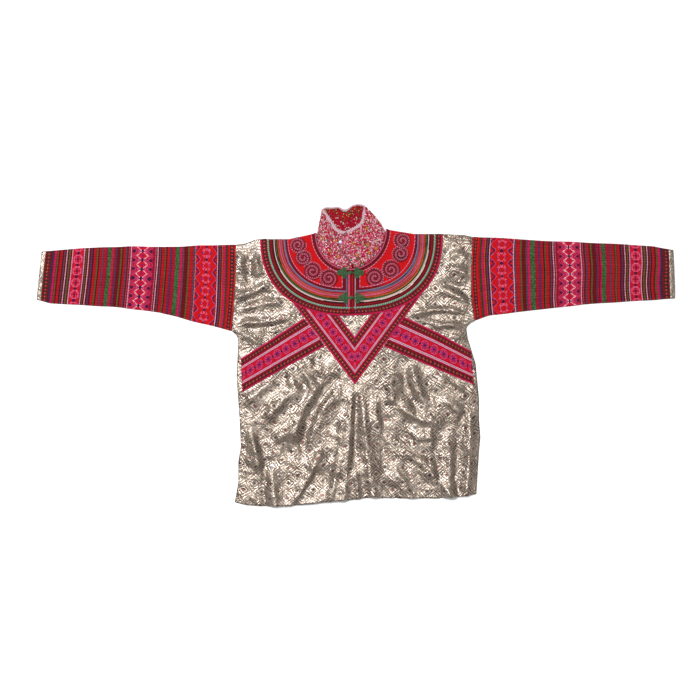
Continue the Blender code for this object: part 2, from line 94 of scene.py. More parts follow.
# ------------------------------------------------------------
# Body: back and front panels of silver brocade, cut in one with the side seams.
# The front is laid over the back in soft uneven folds, which run out from the point of the V
# and from the armholes. The brocade has nested lozenges with a red or a navy dot in each.
# ------------------------------------------------------------
BODY_LEFT = ((-338, -278), (-293, -270), (-245, -270), (-212, -264), (-148, -267), (-50, -274), (33, -270),
             (48, -275), (55, -286.6), (120, -280), (186, -277), (254, -276.1))
BODY_RIGHT = ((-319, 277), (-222, 283), (-190, 286), (-148, 283), (-100, 283), (-19, 275), (39, 257),
              (62, 254), (75, 263), (79, 273.6), (125, 268), (173, 266), (272, 269.6))
HEM = ((-278, -338), (-248, -345), (-203, -347.7), (-158, -347), (-103, -342), (-60, -337), (-22, -334),
       (30, -327), (93, -329), (189, -329), (238, -325), (277, -319))
SHOULDER = ((-276, 253.5), (-255, 255.5), (-230, 265), (-219, 266), (-160, 272.5), (-95, 279), (73, 288),
            (141, 283), (199, 278), (252, 275.5), (270, 271.5))
# Ovals: centre x, y, half width, drop, rise of the right end, fullness of the left and right half
YOKE = (-10, 272, 209, 181, 6, 2.25, 2.5)
NECK = (-11, 283.5, 84, 90, 4.5, 2, 2)
BACK_NECK = (-11, 283.5, 84, 22, 4.5, 2, 2)
COLLAR_SEAM = (-11, 283.5, 78.5, 84.5, 4.5, 2, 2)
PIPING_SEAM = (-11, 283.5, 81.3, 87.3, 4.5, 2, 2)
V_POINT, V_LEFT_END, V_RIGHT_END = (-2, -68), (-139, 112), (126, 105)
BAND_WIDTH = 66
LEFT_BAND = ((-119, 84), (-264, -9), (-261.5, -85), (-71, 21))
RIGHT_BAND = ((112, 87), (176, 57), (265.5, 8), (271, -68), (64, 20))
BODY_START, BODY_ACROSS = -276, 548
BODY_WALL = 1.0
FRONT_LEVEL = 2.7
UNDER_YOKE = 9
BACK_LEVEL = 1.25
PUFF = 2.6
FOLD_GAIN = 1.6
LOWEST_FRONT = 2.0
WAVES = 7

# One row per fold: from x, y to x, y, how far its line bows aside, half width, height, and how much
# wider its near side is. A height below 0 is a trough.
FOLDS = np.array([
    # x0    y0    x1    y1   bow  width height skew
    (-48, -60, -126, -228, -16, 13, -4.2, 1.3),
    (-66, -52, -146, -214, -16, 12, 5.5, 0.8),
    (-34, -70, -112, -246, -18, 12, 5.0, 1.2),
    (-120, 0, -70, -62, 4, 8, 3.2, 1.0),
    (-138, -12, -92, -92, 5, 8, 3.6, 1.0),
    (-164, -20, -128, -118, 4, 9, 3.4, 1.1),
    (-98, 2, -84, -70, 0, 6, -2.4, 1.0),
    (-254, -118, -182, -56, 5, 11, 4.2, 1.0),
    (-214, -164, -116, -66, 8, 14, 5.0, 1.2),
    (-190, -196, -100, -150, -6, 15, 3.8, 1.0),
    (-246, -168, -226, -280, 8, 11, 5.2, 1.0),
    (-236, -172, -212, -322, 13, 9, -3.4, 1.2),
    (-204, -250, -186, -350, 4, 13, 3.8, 1.0),
    (-168, -184, -150, -250, 0, 8, -2.6, 1.0),
    (-74, -200, -150, -350, 7, 12, 5.0, 0.9),
    (-84, -250, -136, -336, 6, 7, -3.2, 1.0),
    (-34, -120, -66, -350, 12, 12, 4.6, 1.1),
    (-10, -70, -30, -350, 4, 11, 4.4, 0.8),
    (0, -84, -6, -262, 0, 6, -3.8, 1.4),
    (16, -80, 44, -350, -5, 12, 5.0, 1.2),
    (60, -110, 66, -300, 0, 8, -2.8, 1.0),
    (44, -90, 78, -214, -9, 11, 3.6, 1.0),
    (84, -44, 92, -120, -8, 14, 5.4, 1.0),
    (96, -116, 212, -156, -12, 13, 6.0, 1.3),
    (106, 10, 150, -140, -13, 9, -4.4, 1.0),
    (130, -20, 170, -130, -8, 13, 5.0, 1.1),
    (66, -178, 236, -190, -14, 12, -3.6, 1.2),
    (128, -204, 190, -196, 8, 14, 5.0, 1.0),
    (100, -216, 206, -310, 10, 12, 4.6, 0.9),
    (180, -206, 194, -306, 0, 7, -3.6, 1.0),
    (206, -176, 214, -330, 5, 12, 4.4, 1.0),
    (252, -106, 234, -318, -7, 8, -4.0, 0.9),
    (262, -120, 256, -316, 3, 9, 4.2, 1.0),
    (192, -96, 250, -150, 6, 13, 4.0, 1.0),
    (180, -60, 262, -100, 4, 12, 3.0, 1.0),
    (60, -292, 96, -340, 5, 6, -3.2, 1.0),
    (90, -262, 130, -345, 3, 12, 3.6, 1.0),
    (-4, -262, 6, -345, 2, 7, 3.2, 1.0),
    # between armholes and yoke
    (-247, 222, -246, 164, 2, 7, -3.4, 1.0),
    (-228, 232, -222, 176, -2, 10, 4.0, 1.0),
    (-268, 236, -262, 150, 3, 8, 3.0, 1.0),
    (-280, 132, -188, 172, -5, 10, 4.0, 1.0),
    (-282, 114, -166, 142, 4, 9, -2.4, 1.0),
    (-280, 98, -150, 126, 4, 9, 3.6, 1.2),
    (-280, 76, -128, 92, -7, 9, 3.6, 1.0),
    (-276, 60, -140, 78, -5, 7, -2.6, 1.0),
    (-272, 52, -206, 14, 4, 8, 3.8, 0.8),
    (-266, 34, -236, -4, 3, 9, -3.0, 1.0),
    (-200, 44, -140, 76, 2, 8, 2.8, 1.0),
    (212, 232, 262, 214, 4, 10, 3.2, 1.0),
    (206, 196, 262, 178, 6, 12, 4.0, 1.0),
    (200, 168, 264, 128, 7, 9, -2.8, 1.0),
    (186, 150, 264, 116, 6, 12, 4.2, 1.0),
    (116, 86, 268, 86, 18, 8, 4.4, 0.8),
    (136, 78, 254, 74, -4, 8, 3.4, 1.0),
    (160, 92, 262, 88, 4, 5, -2.8, 1.0),
    (176, 62, 252, 60, 7, 7, 3.4, 1.0),
    (214, 40, 256, 34, 5, 7, 3.2, 1.0),
    # inside the V
    (-12, 84, 4, 56, 2, 7, 2.2, 1.0),
    (14, 84, 8, 60, 2, 6, 1.8, 1.0),
])


def soft_step(value):
    """0 below 0, 1 above 1, and 3v^2 - 2v^3 between."""
    value = np.clip(value, 0, 1)
    return value * value * (3 - 2 * value)


def on_line(table, at):
    """Straight-line reading of a table of (position, value) rows."""
    rows = np.asarray(table, float)
    return np.interp(at, rows[:, 0], rows[:, 1])


def ripples(x, y, length, seed):
    """Sum of seven plane sine waves of about this length in seeded directions, scaled to about -1 to 1."""
    draw = np.random.default_rng(seed)
    total = np.zeros_like(x, dtype=float)
    for _ in range(WAVES):
        heading = draw.uniform(0, np.pi)
        stretch = length * draw.uniform(0.7, 1.5)
        along = x * np.cos(heading) + y * np.sin(heading)
        total += np.sin(2 * np.pi * along / stretch + draw.uniform(0, 2 * np.pi))
    return total / np.sqrt(WAVES * 2)


def gap_outside(outline, x, y):
    """Distance from each point to an outline, or 0 inside it."""
    inside = np.zeros(x.shape, bool)
    nearest = np.full(x.shape, np.inf)
    corners = list(outline)
    for (ax, ay), (bx, by) in zip(corners, corners[1:] + corners[:1]):
        dx, dy = bx - ax, by - ay
        along = np.clip(((x - ax) * dx + (y - ay) * dy) / (dx * dx + dy * dy), 0, 1)
        nearest = np.minimum(nearest, np.hypot(x - ax - along * dx, y - ay - along * dy))
        if dy:
            crosses = ((ay > y) != (by > y)) & (x < ax + (y - ay) * dx / dy)
            inside ^= crosses
    return np.where(inside, 0, nearest)


def inside_oval(oval, x, y):
    """Distance in from an oval along the line to its centre: above 0 inside it.

    With across and up as shares of its half width and drop, the oval is |across|^n + |up|^n = 1.
    """
    centre_x, centre_y, half_width, drop, tilt, left, right = oval
    across = (x - centre_x) / half_width
    up = (y - tilt * across - centre_y) / drop
    full = np.where(across < 0, left, right)
    share = np.maximum((np.abs(across) ** full + np.abs(up) ** full) ** (1 / full), 1e-6)
    return (1 - share) * np.hypot(across * half_width, up * drop) / share


def on_oval(oval, angle, inward=0.0):
    """Points of an oval drawn in by some mm: 180 degrees is its left end, 270 its lowest point."""
    centre_x, centre_y, half_width, drop, tilt, left, right = oval
    cosine, sine = np.cos(np.radians(angle)), np.sin(np.radians(angle))
    power = 2 / np.where(cosine < 0, left, right)
    across, up = np.sign(cosine) * np.abs(cosine) ** power, np.sign(sine) * np.abs(sine) ** power
    return centre_x + (half_width - inward) * across, centre_y + tilt * across + (drop - inward) * up


def front_lift(x, y):
    """Height of the front cloth: level + puff + sum of folds, calmed under the stiff trims and at the seams.

    A fold is 1.6 * height * exp(-|d / width|^1.6), d measured from its bowed line, fading at both ends.
    """
    folds = np.zeros_like(x, dtype=float)
    for x0, y0, x1, y1, bow, width, height, skew in FOLDS:
        length = np.hypot(x1 - x0, y1 - y0)
        ux, uy = (x1 - x0) / length, (y1 - y0) / length
        along = ((x - x0) * ux + (y - y0) * uy) / length
        bend = bow * 4 * np.clip(along, 0, 1) * (1 - np.clip(along, 0, 1))
        away = (x - x0) * -uy + (y - y0) * ux - bend
        side = np.where(away > 0, width * skew, width / skew)
        ends_on_hem = y1 < -300
        fade = soft_step(along / 0.25 + 0.15) * (1 if ends_on_hem else soft_step((1 - along) / 0.3))
        folds += FOLD_GAIN * height * np.exp(-(np.abs(away / side) ** 1.6)) * np.where(along > -0.1, fade, 0)
    trims = np.minimum(gap_outside(LEFT_BAND, x, y), gap_outside(RIGHT_BAND, x, y))
    v_outline = (V_POINT, V_RIGHT_END, V_LEFT_END)
    trims = np.minimum(trims, gap_outside(v_outline, x, y))
    trims = np.minimum(trims, np.maximum(-inside_oval(YOKE, x, y), 0))
    calm = 0.22 + 0.78 * soft_step(trims / 14)
    left, right = on_line(BODY_LEFT, y), on_line(BODY_RIGHT, y)
    to_side = np.minimum(x - left, right - x)
    below_arm = soft_step((70 - y) / 30)
    to_side = np.where(below_arm > 0, to_side / np.maximum(below_arm, 1e-3), 1e3)
    to_edge = np.minimum(to_side, on_line(SHOULDER, x) - y)
    edge = soft_step(to_edge / 26)
    drape = 2.2 * ripples(x, y, 90, 3) + 1.35 * ripples(x, y, 38, 5) + 0.3 * ripples(x, y, 17, 7)
    lift = PUFF * edge + (folds * calm + drape * (0.35 + 0.65 * calm)) * (0.12 + 0.88 * edge)
    return np.maximum(FRONT_LEVEL - 1.0 * (1 - soft_step(to_edge / 7)) + lift, LOWEST_FRONT)


def on_front(x, y, rise):
    """Points this much above the front cloth."""
    return np.stack([x, y, front_lift(x, y) + rise], -1)


def face_middle(values):
    """The middle of each cell of a grid."""
    return (values[:-1, :-1] + values[1:, 1:]) / 2


def quads(index, closed=False):
    """Faces of a grid of point numbers; closed joins its last column to its first."""
    if closed:
        index = np.concatenate([index, index[:, :1]], axis=1)
    return np.stack([index[:-1, :-1], index[:-1, 1:], index[1:, 1:], index[1:, :-1]], -1).reshape(-1, 4)


def numbered(rows, columns):
    """Point numbers of a grid, row by row."""
    return np.arange(rows * columns).reshape(rows, columns)


def new_piece(name, points, faces, material, dye=None):
    """An object from points in mm and lists of corners; dye is a colour for each face."""
    mesh = bpy.data.meshes.new(name)
    mesh.from_pydata((points * MM).tolist(), [], faces)
    if dye is not None:
        corners = np.repeat(dye, [len(face) for face in faces], axis=0)
        rgba = np.concatenate([corners, np.ones((len(corners), 1))], axis=1)
        layer = mesh.color_attributes.new("dye", "FLOAT_COLOR", "CORNER")
        layer.data.foreach_set("color", rgba.astype(np.float32).ravel())
    mesh.shade_smooth()
    mesh.materials.append(material)
    piece = bpy.data.objects.new(name, mesh)
    bpy.context.scene.collection.objects.link(piece)
    return piece


def cloth_grid(name, points, wall, material, dye=None, cloth=None, keep=None, closed=False):
    """A sheet from a grid of points in mm (rows, columns, xyz), with a wall on its inner side.

    dye is a colour for each face, cloth a place on the flat cloth in mm for each point, keep the faces
    to leave in. closed joins the last column to the first.
    """
    kept = slice(None) if keep is None else keep.ravel()
    used, faces = np.unique(quads(numbered(*points.shape[:2]), closed)[kept], return_inverse=True)
    shades = None if dye is None else dye.reshape(-1, 3)[kept]
    piece = new_piece(name, points.reshape(-1, 3)[used], faces.reshape(-1, 4).tolist(), material, shades)
    if cloth is not None:
        places = cloth.reshape(-1, 2)[quads(numbered(*cloth.shape[:2]))[kept].ravel()]
        layer = piece.data.uv_layers.new(name="cloth")
        layer.data.foreach_set("uv", (places * MM).astype(np.float32).ravel())
    thickness = piece.modifiers.new("wall", "SOLIDIFY")
    thickness.thickness = wall * MM
    thickness.offset = -1
    return piece


def settle(piece, slot, *nodes):
    """Every piece rides on the one body and stands for its CAD nodes; slot is not used."""
    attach(piece, "root")
    if nodes:
        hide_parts(*nodes)
    return piece


def thread(red, green, blue):
    """A thread's colour on the shader's linear scale, from how it looks on a scale of 0 to 255."""
    seen = np.array([red, green, blue]) / 255
    return np.where(seen <= 0.04045, seen / 12.92, ((seen + 0.055) / 1.055) ** 2.4)


class Shader:
    """A new material with short ways to add and join its nodes. finish holds values for its surface."""

    def __init__(self, name, finish):
        self.material = bpy.data.materials.new(name)
        self.material.use_nodes = True
        self.tree = self.material.node_tree
        self.surface = self.tree.nodes["Principled BSDF"]
        for socket, value in finish.items():
            self.surface.inputs[socket].default_value = value

    def node(self, kind, **settings):
        """A new node, set up."""
        made = self.tree.nodes.new(kind)
        for key, value in settings.items():
            setattr(made, key, value)
        return made

    def join(self, value, socket):
        """Sets an input to a number or a colour, or links an output to it."""
        if isinstance(value, (int, float)):
            socket.default_value = value
        elif isinstance(value, np.ndarray):
            socket.default_value = (*value, 1)
        else:
            self.tree.links.new(value, socket)

    def maths(self, operation, first, second=0.0):
        """The result of one operation on two numbers."""
        made = self.node("ShaderNodeMath", operation=operation)
        for socket, value in zip(made.inputs, (first, second)):
            self.join(value, socket)
        return made.outputs[0]

    def mix(self, share, first, second):
        """The first colour where share is 0, the second where it is 1."""
        made = self.node("ShaderNodeMix", data_type="RGBA")
        for name, value in (("Factor", share), ("A", first), ("B", second)):
            self.join(value, next(s for s in made.inputs if s.name == name and s.enabled))
        return next(s for s in made.outputs if s.enabled)

    def noise(self, place, scale, detail=2.0):
        """Cloudy values round a half, with this many clouds to the metre."""
        made = self.node("ShaderNodeTexNoise")
        for name, value in (("Vector", place), ("Scale", scale), ("Detail", detail)):
            self.join(value, made.inputs[name])
        return made.outputs[0]

    def apart(self, place):
        """x and y of a place."""
        made = self.node("ShaderNodeSeparateXYZ")
        self.join(place, made.inputs[0])
        return made.outputs[0], made.outputs[1]

    def bump(self, height, strength, distance):
        """Relief on the surface, distance metres for each 1 of height."""
        made = self.node("ShaderNodeBump")
        for name, value in (("Strength", strength), ("Distance", distance), ("Height", height)):
            self.join(value, made.inputs[name])
        self.join(made.outputs["Normal"], self.surface.inputs["Normal"])


LOZENGE_WIDE, LOZENGE_TALL = 0.042, 0.036
RINGS = 2.5
# The second colour is a painted glint: bright specks in the base colour stand in for light sparkling on the
# metal thread.
SILVER, PAINTED_GLINT = thread(144, 129, 115), thread(222, 213, 204)
LINE, PAINTED_WASH_LINE = thread(98, 80, 66), thread(150, 133, 117)
RED_DOT, NAVY_DOT, CROSSING = thread(124, 34, 44), thread(46, 44, 78), thread(140, 56, 62)


def brocade_cloth(name, fine=1.0):
    """Nested lozenges: with a = u/w + v/h and b = u/w - v/h, rings follow max(|a|, |b|) from each centre.

    The rings are dark lines, painted a paler taupe in random patches: painted light and shade, standing in
    for highlights and fold shadows that hide the lines. The pale ground has painted glints, bright specks
    where its fine grain is high. A dot sits in each lozenge, red and navy by turns, and a red stitch where
    two rows of lozenges cross.
    """
    shader = Shader(name, {"Roughness": 0.34, "Metallic": 0.72, "Coat Weight": 0.3, "Coat Roughness": 0.25})
    maths = shader.maths
    place = shader.node("ShaderNodeUVMap", uv_map="cloth").outputs[0]
    drift = maths("MULTIPLY", maths("SUBTRACT", shader.noise(place, 9.0), 0.5), 0.5)
    u, v = (maths("ADD", maths("DIVIDE", way, size * fine), drift)
            for way, size in zip(shader.apart(place), (LOZENGE_WIDE, LOZENGE_TALL)))
    a = maths("ADD", u, v)
    off_a, off_b = (maths("ABSOLUTE", maths("SUBTRACT", maths("FRACT", way), 0.5))
                    for way in (a, maths("SUBTRACT", u, v)))
    out = maths("MULTIPLY", maths("MAXIMUM", off_a, off_b), 2.0)
    ring = maths("FRACT", maths("ADD", maths("MULTIPLY", out, RINGS), 0.7))
    dark = maths("LESS_THAN", ring, 0.42)
    dot = maths("LESS_THAN", out, 0.115)
    odd = maths("MODULO", maths("ABSOLUTE", maths("FLOOR", a)), 2.0)
    crossing = maths("GREATER_THAN", maths("MINIMUM", off_a, off_b), 0.457)
    grain = shader.noise(place, 700.0)
    # Painted highlight: the ground takes the bright glint colour wherever the fine grain noise is above 0.56.
    silver = shader.mix(maths("GREATER_THAN", grain, 0.56), SILVER, PAINTED_GLINT)
    # Painted light and shade: in random patches of a coarse noise the dark lines take a paler taupe.
    painted_wash = maths("MULTIPLY", maths("SUBTRACT", shader.noise(place, 24.0), 0.42), 5.0)
    threads = shader.mix(dark, silver, shader.mix(painted_wash, LINE, PAINTED_WASH_LINE))
    marked = shader.mix(dot, threads, shader.mix(odd, RED_DOT, NAVY_DOT))
    shader.join(shader.mix(crossing, marked, CROSSING), shader.surface.inputs["Base Color"])
    shader.join(maths("ADD", maths("MULTIPLY", dark, 0.22), 0.30), shader.surface.inputs["Roughness"])
    relief = maths("ADD", maths("MULTIPLY", dark, -0.6), grain)
    crumple = maths("MULTIPLY", shader.noise(place, 75.0, 4.0), 9.0)
    shader.bump(maths("ADD", relief, crumple), 0.7, 0.0007)
    return shader.material


brocade = brocade_cloth("silver_brocade")


def body_grid(columns, rows):
    """Places x, y over the panel: y runs from the hem to the shoulder line, x from side to side."""
    u, v = np.meshgrid(np.linspace(0, 1, columns), np.linspace(0, 1, rows))
    x = BODY_START + BODY_ACROSS * u
    y = on_line(HEM, x) * (1 - v) + on_line(SHOULDER, x) * v
    x = on_line(BODY_LEFT, y) * (1 - u) + on_line(BODY_RIGHT, y) * u
    return x, y


def on_cloth(points):
    """Place on the flat cloth, in mm: the length of cloth from the middle of its row, and up its column."""
    middle = points.shape[1] // 2
    right = np.linalg.norm(np.diff(points, axis=1), axis=2)
    up = np.linalg.norm(np.diff(points, axis=0), axis=2)
    u = np.concatenate([np.zeros((len(points), 1)), np.cumsum(right, axis=1)], axis=1)
    v = np.concatenate([np.zeros((1, points.shape[1])), np.cumsum(up, axis=0)], axis=0)
    return np.stack([u - u[:, middle:middle + 1], v], -1)


def body_panel(name, columns, rows, height, node):
    """One panel of brocade, open where the yoke closes it. height gives the cloth's height at x, y."""
    x, y = body_grid(columns, rows)
    points = np.stack([x, y, height(x, y)], -1)
    in_yoke = inside_oval(YOKE, face_middle(x), face_middle(y))
    piece = cloth_grid(name, points, BODY_WALL, brocade, cloth=on_cloth(points),
                       keep=in_yoke < UNDER_YOKE)
    return settle(piece, "brocade", node)


def back_height(x, y):
    """Height of the back panel: level, and 0.25 mm lower at its sides."""
    to_side = np.minimum(x - on_line(BODY_LEFT, y), on_line(BODY_RIGHT, y) - x)
    return BACK_LEVEL - 0.25 * (1 - np.minimum(to_side, 8) / 8)


front = body_panel("front_body", 170, 184, front_lift, "front_panel")
back = body_panel("back_body", 48, 52, back_height, "back_panel")

# ------------------------------------------------------------
# Threads and stitched cloth.
# Everything but the brocade is cotton worked in coloured thread. Its colours are laid stitch by
# stitch on the piece's own faces, and one woven finish carries them.
# ------------------------------------------------------------
THREADS = {name: thread(*seen) for name, seen in {
    "red": (186, 12, 30), "scarlet": (206, 8, 16), "dark_red": (112, 6, 16), "crimson": (172, 10, 48),
    "pink": (222, 98, 134), "hot_pink": (206, 20, 84), "white_pink": (240, 188, 206), "orange": (190, 84, 36),
    "olive": (96, 92, 44), "moss": (50, 66, 38), "green": (62, 122, 66), "blue_grey": (98, 96, 124),
    "blue_purple": (86, 50, 98), "dark_purple": (66, 12, 62), "dark": (50, 10, 16), "ink": (30, 34, 30),
    "teal": (74, 172, 142), "navy": (30, 44, 82), "cream": (236, 206, 196), "brown": (104, 18, 18),
    "leaf": (52, 70, 28), "violet": (120, 24, 112), "rose": (210, 66, 118), "magenta": (160, 24, 104),
    "slate": (98, 66, 90), "sage": (84, 130, 92), "mint": (190, 226, 210), "lilac": (176, 146, 166),
    "band_red": (200, 8, 42), "gold": (196, 158, 70),
}.items()}
WEAVE_PITCH = 0.0016


def stitched_cloth(name):
    """Cotton: the stitches' own colours under a fine crossed weave, with a little loose colour."""
    shader = Shader(name, {"Roughness": 0.85, "Sheen Weight": 0.1, "Sheen Roughness": 0.5,
                           "Specular IOR Level": 0.15})
    dye = shader.node("ShaderNodeAttribute", attribute_name="dye")
    place = shader.node("ShaderNodeTexCoord").outputs["Object"]
    fleck = shader.noise(place, 420.0, 3.0)
    scaled = shader.node("ShaderNodeVectorMath", operation="SCALE")
    shader.join(dye.outputs["Color"], scaled.inputs[0])
    shader.join(shader.maths("ADD", shader.maths("MULTIPLY", fleck, 0.8), 0.4), scaled.inputs["Scale"])
    shader.join(scaled.outputs[0], shader.surface.inputs["Base Color"])
    warp, weft = (shader.maths("SINE", shader.maths("MULTIPLY", way, 2 * np.pi / WEAVE_PITCH))
                  for way in shader.apart(place))
    shader.bump(shader.maths("ADD", shader.maths("MULTIPLY", warp, weft), fleck), 0.55, 0.0005)
    return shader.material


cotton = stitched_cloth("stitched_cotton")

RIBBON_CHART = ("dikkkid", "dkllikd", "dikkkid", "dbroobd", "rboorbr", "dbbobbd")
CHART_THREADS = {
    "r": "crimson", "k": "dark_purple", "b": "brown", "l": "leaf", "i": "ink", "o": "orange", "d": "dark_red",
}
RIBBON = np.array([[THREADS[CHART_THREADS[sign]] for sign in row] for row in RIBBON_CHART])
RIBBON_PITCH = 1.4
STRIPE_GAP = 0.9


def ribbon(across, along):
    """Thread colours of the flowered ribbon, at stitches counted across it and along it."""
    rows, columns = RIBBON.shape[:2]
    return RIBBON[along.astype(int) % rows, across.astype(int) % columns]


def dyed(rules, colours):
    """The colours, with the thread of each (where, thread) rule over them in turn."""
    for where, name in rules:
        colours = np.where(where[..., None], THREADS[name], colours)
    return colours


def motif(kind, off, along):
    """Stitched bands, each a row of motifs: off is the distance from the middle line, along the place round.

    step runs over one repeat with the motif in its middle; radius and turn are measured from that middle.
    Lozenges are |off| / reach + |step| / half a repeat, and petals are where cos(n * turn) is high.
    """
    pitch = {"rose": 27.0, "lattice": 20.5, "flower": 29.0}[kind]
    step = (along % pitch) - pitch / 2
    side, to_gap = np.abs(off), pitch / 2 - np.abs(step)
    radius, turn = np.hypot(step, off), np.arctan2(off, step)
    zigzag = side / 13 + np.abs(step) / (pitch / 2) - 1
    rules = {
        "rose": (
            ((radius > 7.8) & (radius < 10.2) & (np.abs(np.cos(2 * turn)) > 0.2), "pink"),
            ((np.abs(side - np.abs(step)) < 1.3) & (radius < 7.4) & (radius > 2.4), "pink"),
            ((radius < 5.6) & (side < 1.6), "crimson"), (radius < 1.8, "dark_purple"),
            ((to_gap + side < 3.6), "dark_purple"), ((to_gap + side > 15) & (side > 9), "hot_pink"),
        ),
        "lattice": (
            (zigzag > 0.42, "crimson"), (np.abs(zigzag - 0.46) < 0.07, "rose"),
            (np.abs(zigzag - 0.95) < 0.08, "rose"), (to_gap + np.abs(side - 19) < 4.2, "dark_purple"),
            (np.abs(zigzag) < 0.09, "white_pink"), (radius < 2.2, "violet"),
            (to_gap + side < 4.2, "dark_purple"),
            ((side > 5.4) & (side < 9.6) & (to_gap + np.abs(side - 7.5) < 3.4), "rose"),
        ),
        "flower": (
            ((radius > 6.2) & (radius < 11.8) & (np.cos(8 * turn) > -0.35), "pink"),
            ((radius > 8.2) & (radius < 11.0) & (np.cos(8 * turn) > 0.45), "rose"),
            ((side + np.abs(step) > 2.2) & (side + np.abs(step) < 4.4), "crimson"),
            ((side > 8.4) & (side < 12) & (np.abs(step) < 2.6), "violet"),
            (to_gap + side < 4.4, "dark_purple"), (np.abs(side - 16.2 - 0.9 * to_gap) < 1.9, "dark_purple"),
            (np.abs(side - 12.6 - 0.9 * to_gap) < 1.0, "rose"),
        ),
    }
    ground = "scarlet" if kind == "flower" else "band_red"
    return dyed(rules[kind], np.broadcast_to(THREADS[ground], off.shape + (3,)))


def banded(place, table):
    """Thread colours of bands, each given by its far edge and its thread, at these places."""
    stripe = np.searchsorted([edge for edge, _ in table], place)
    return np.array([THREADS[name] for _, name in table])[stripe]


def striped(table, at):
    """Thread colours of stripes, from a table of names and widths, at places from 0 to 1 over the strip.

    Near a stripe's far edge, the dark red ground shows.
    """
    names, widths = zip(*(row.split() for row in table.split(",")))
    edges = np.cumsum(np.array(widths, float))
    place = at * edges[-1]
    stripe = np.minimum(np.searchsorted(edges, place), len(names) - 1)
    colours = np.array([THREADS[name] for name in names])[stripe]
    return np.where((edges[stripe] - place < STRIPE_GAP)[..., None], THREADS["dark_red"], colours)


def loose_colour(colours, seed, spread=0.16):
    """The same colours, each stitch a little lighter or darker."""
    draw = np.random.default_rng(seed)
    return colours * (1 + draw.uniform(-spread, spread, colours.shape[:-1]))[..., None]


# ------------------------------------------------------------
# Sleeves: each is pieced from ten strips, sewn end to end and closed into a tube.
# Woven stripes alternate with three cross-stitched bands; a ribbon ends it at the shoulder and
# at the cuff, where the edge is bound with a strip of the brocade.
# ------------------------------------------------------------
SLEEVES = {
    # seam x at the top and bottom edge, bow of the seam, cuff x at the top and bottom edge
    "left": (-276.5, -287, 4, -722, -733.5),
    "right": (270, 274, -6, 729.6, 733.5),
}
# Height of the top and the bottom edge at distances along the sleeve
SLEEVE_TOP = {
    "left": ((0, 253.5), (35, 253), (95, 251), (165, 248), (250, 249.5), (350, 246), (415, 240), (446, 238)),
    "right": ((0, 271.5), (35, 270), (95, 267), (165, 263), (250, 258.5), (350, 254), (415, 250),
              (459, 241.5)),
}
SLEEVE_BOTTOM = {
    "left": ((0, 55), (35, 64), (95, 79), (165, 98), (250, 109), (350, 115), (415, 119), (446, 127)),
    "right": ((0, 79), (35, 91), (95, 98), (165, 105), (250, 116.5), (350, 123), (415, 126), (459, 130)),
}
STRIPS = {
    # start and end as shares of the sleeve, slot, stripes or motif
    "shoulder_ribbon": (0.000, 0.035, "woven_ribbon", "ribbon"),
    "upper_stripes": (
        0.035, 0.096, "striped_cloth",
        "red 3, moss 4.5, hot_pink 6, orange 3, dark_red 2.5, slate 3, dark_purple 3, white_pink 2.4"),
    "upper_motif": (0.096, 0.206, "motif_cloth", "flower"),
    "middle_stripes": (
        0.206, 0.420, "striped_cloth",
        "white_pink 2.2, slate 4, red 9, olive 4, dark_red 8, slate 4, hot_pink 6, green 10.5, crimson 8, "
        "blue_purple 4.5, red 6, dark 2, olive 3.5, red 7, dark 1.5, slate 3.5, dark_red 3, white_pink 2.4, "
        "dark_red 2, pink 2.5, crimson 3"),
    "middle_motif": (0.420, 0.533, "motif_cloth", "lattice"),
    "lower_stripes": (
        0.533, 0.784, "striped_cloth",
        "white_pink 2.4, crimson 3, pink 2, dark_red 3, slate 4, red 5.5, dark_red 3, olive 4, dark_red 8, "
        "blue_purple 3.5, crimson 4, orange 1.5, hot_pink 4, green 10, crimson 9, slate 4, red 6.5, dark 2, "
        "olive 4, red 7.5, dark 2.5, blue_purple 4, dark_red 4, white_pink 2.4, dark_red 3, olive 3, "
        "dark_purple 2, white_pink 2.4"),
    "lower_motif": (0.784, 0.840, "motif_cloth", "rose"),
    "cuff_stripes": (
        0.840, 0.947, "striped_cloth",
        "white_pink 2.4, dark_red 3, olive 4, dark_purple 2.5, white_pink 2.5, dark_red 3, slate 3.5, "
        "dark 2, red 6, dark_red 3, olive 3.5, hot_pink 6, blue_purple 2, navy 3"),
    "cuff_ribbon": (0.947, 0.977, "woven_ribbon", "ribbon"),
    "cuff_binding": (0.977, 1.000, "brocade", None),
}
STITCH = 1.5
RIBBON_STITCH = 1.35
EDGE_ROUND = 3.2
SLEEVE_LEVEL = 3.4
TRIM_WALL = 0.9


def sleeve_ring(width):
    """Places round a flattened tube: down from 0 to 1 over the front layer, then back up the other."""
    near = np.array([0, 0.25, 0.8, 1.7, 3.0]) / width
    over = np.concatenate([near, np.linspace(4.5 / width, 1 - 4.5 / width, 92), 1 - near[::-1]])
    under = np.concatenate([1 - near[1:], np.linspace(0.94, 0.06, 14), near[:0:-1]])
    return np.concatenate([over, under]), np.concatenate([np.ones(len(over)), -np.ones(len(under))])


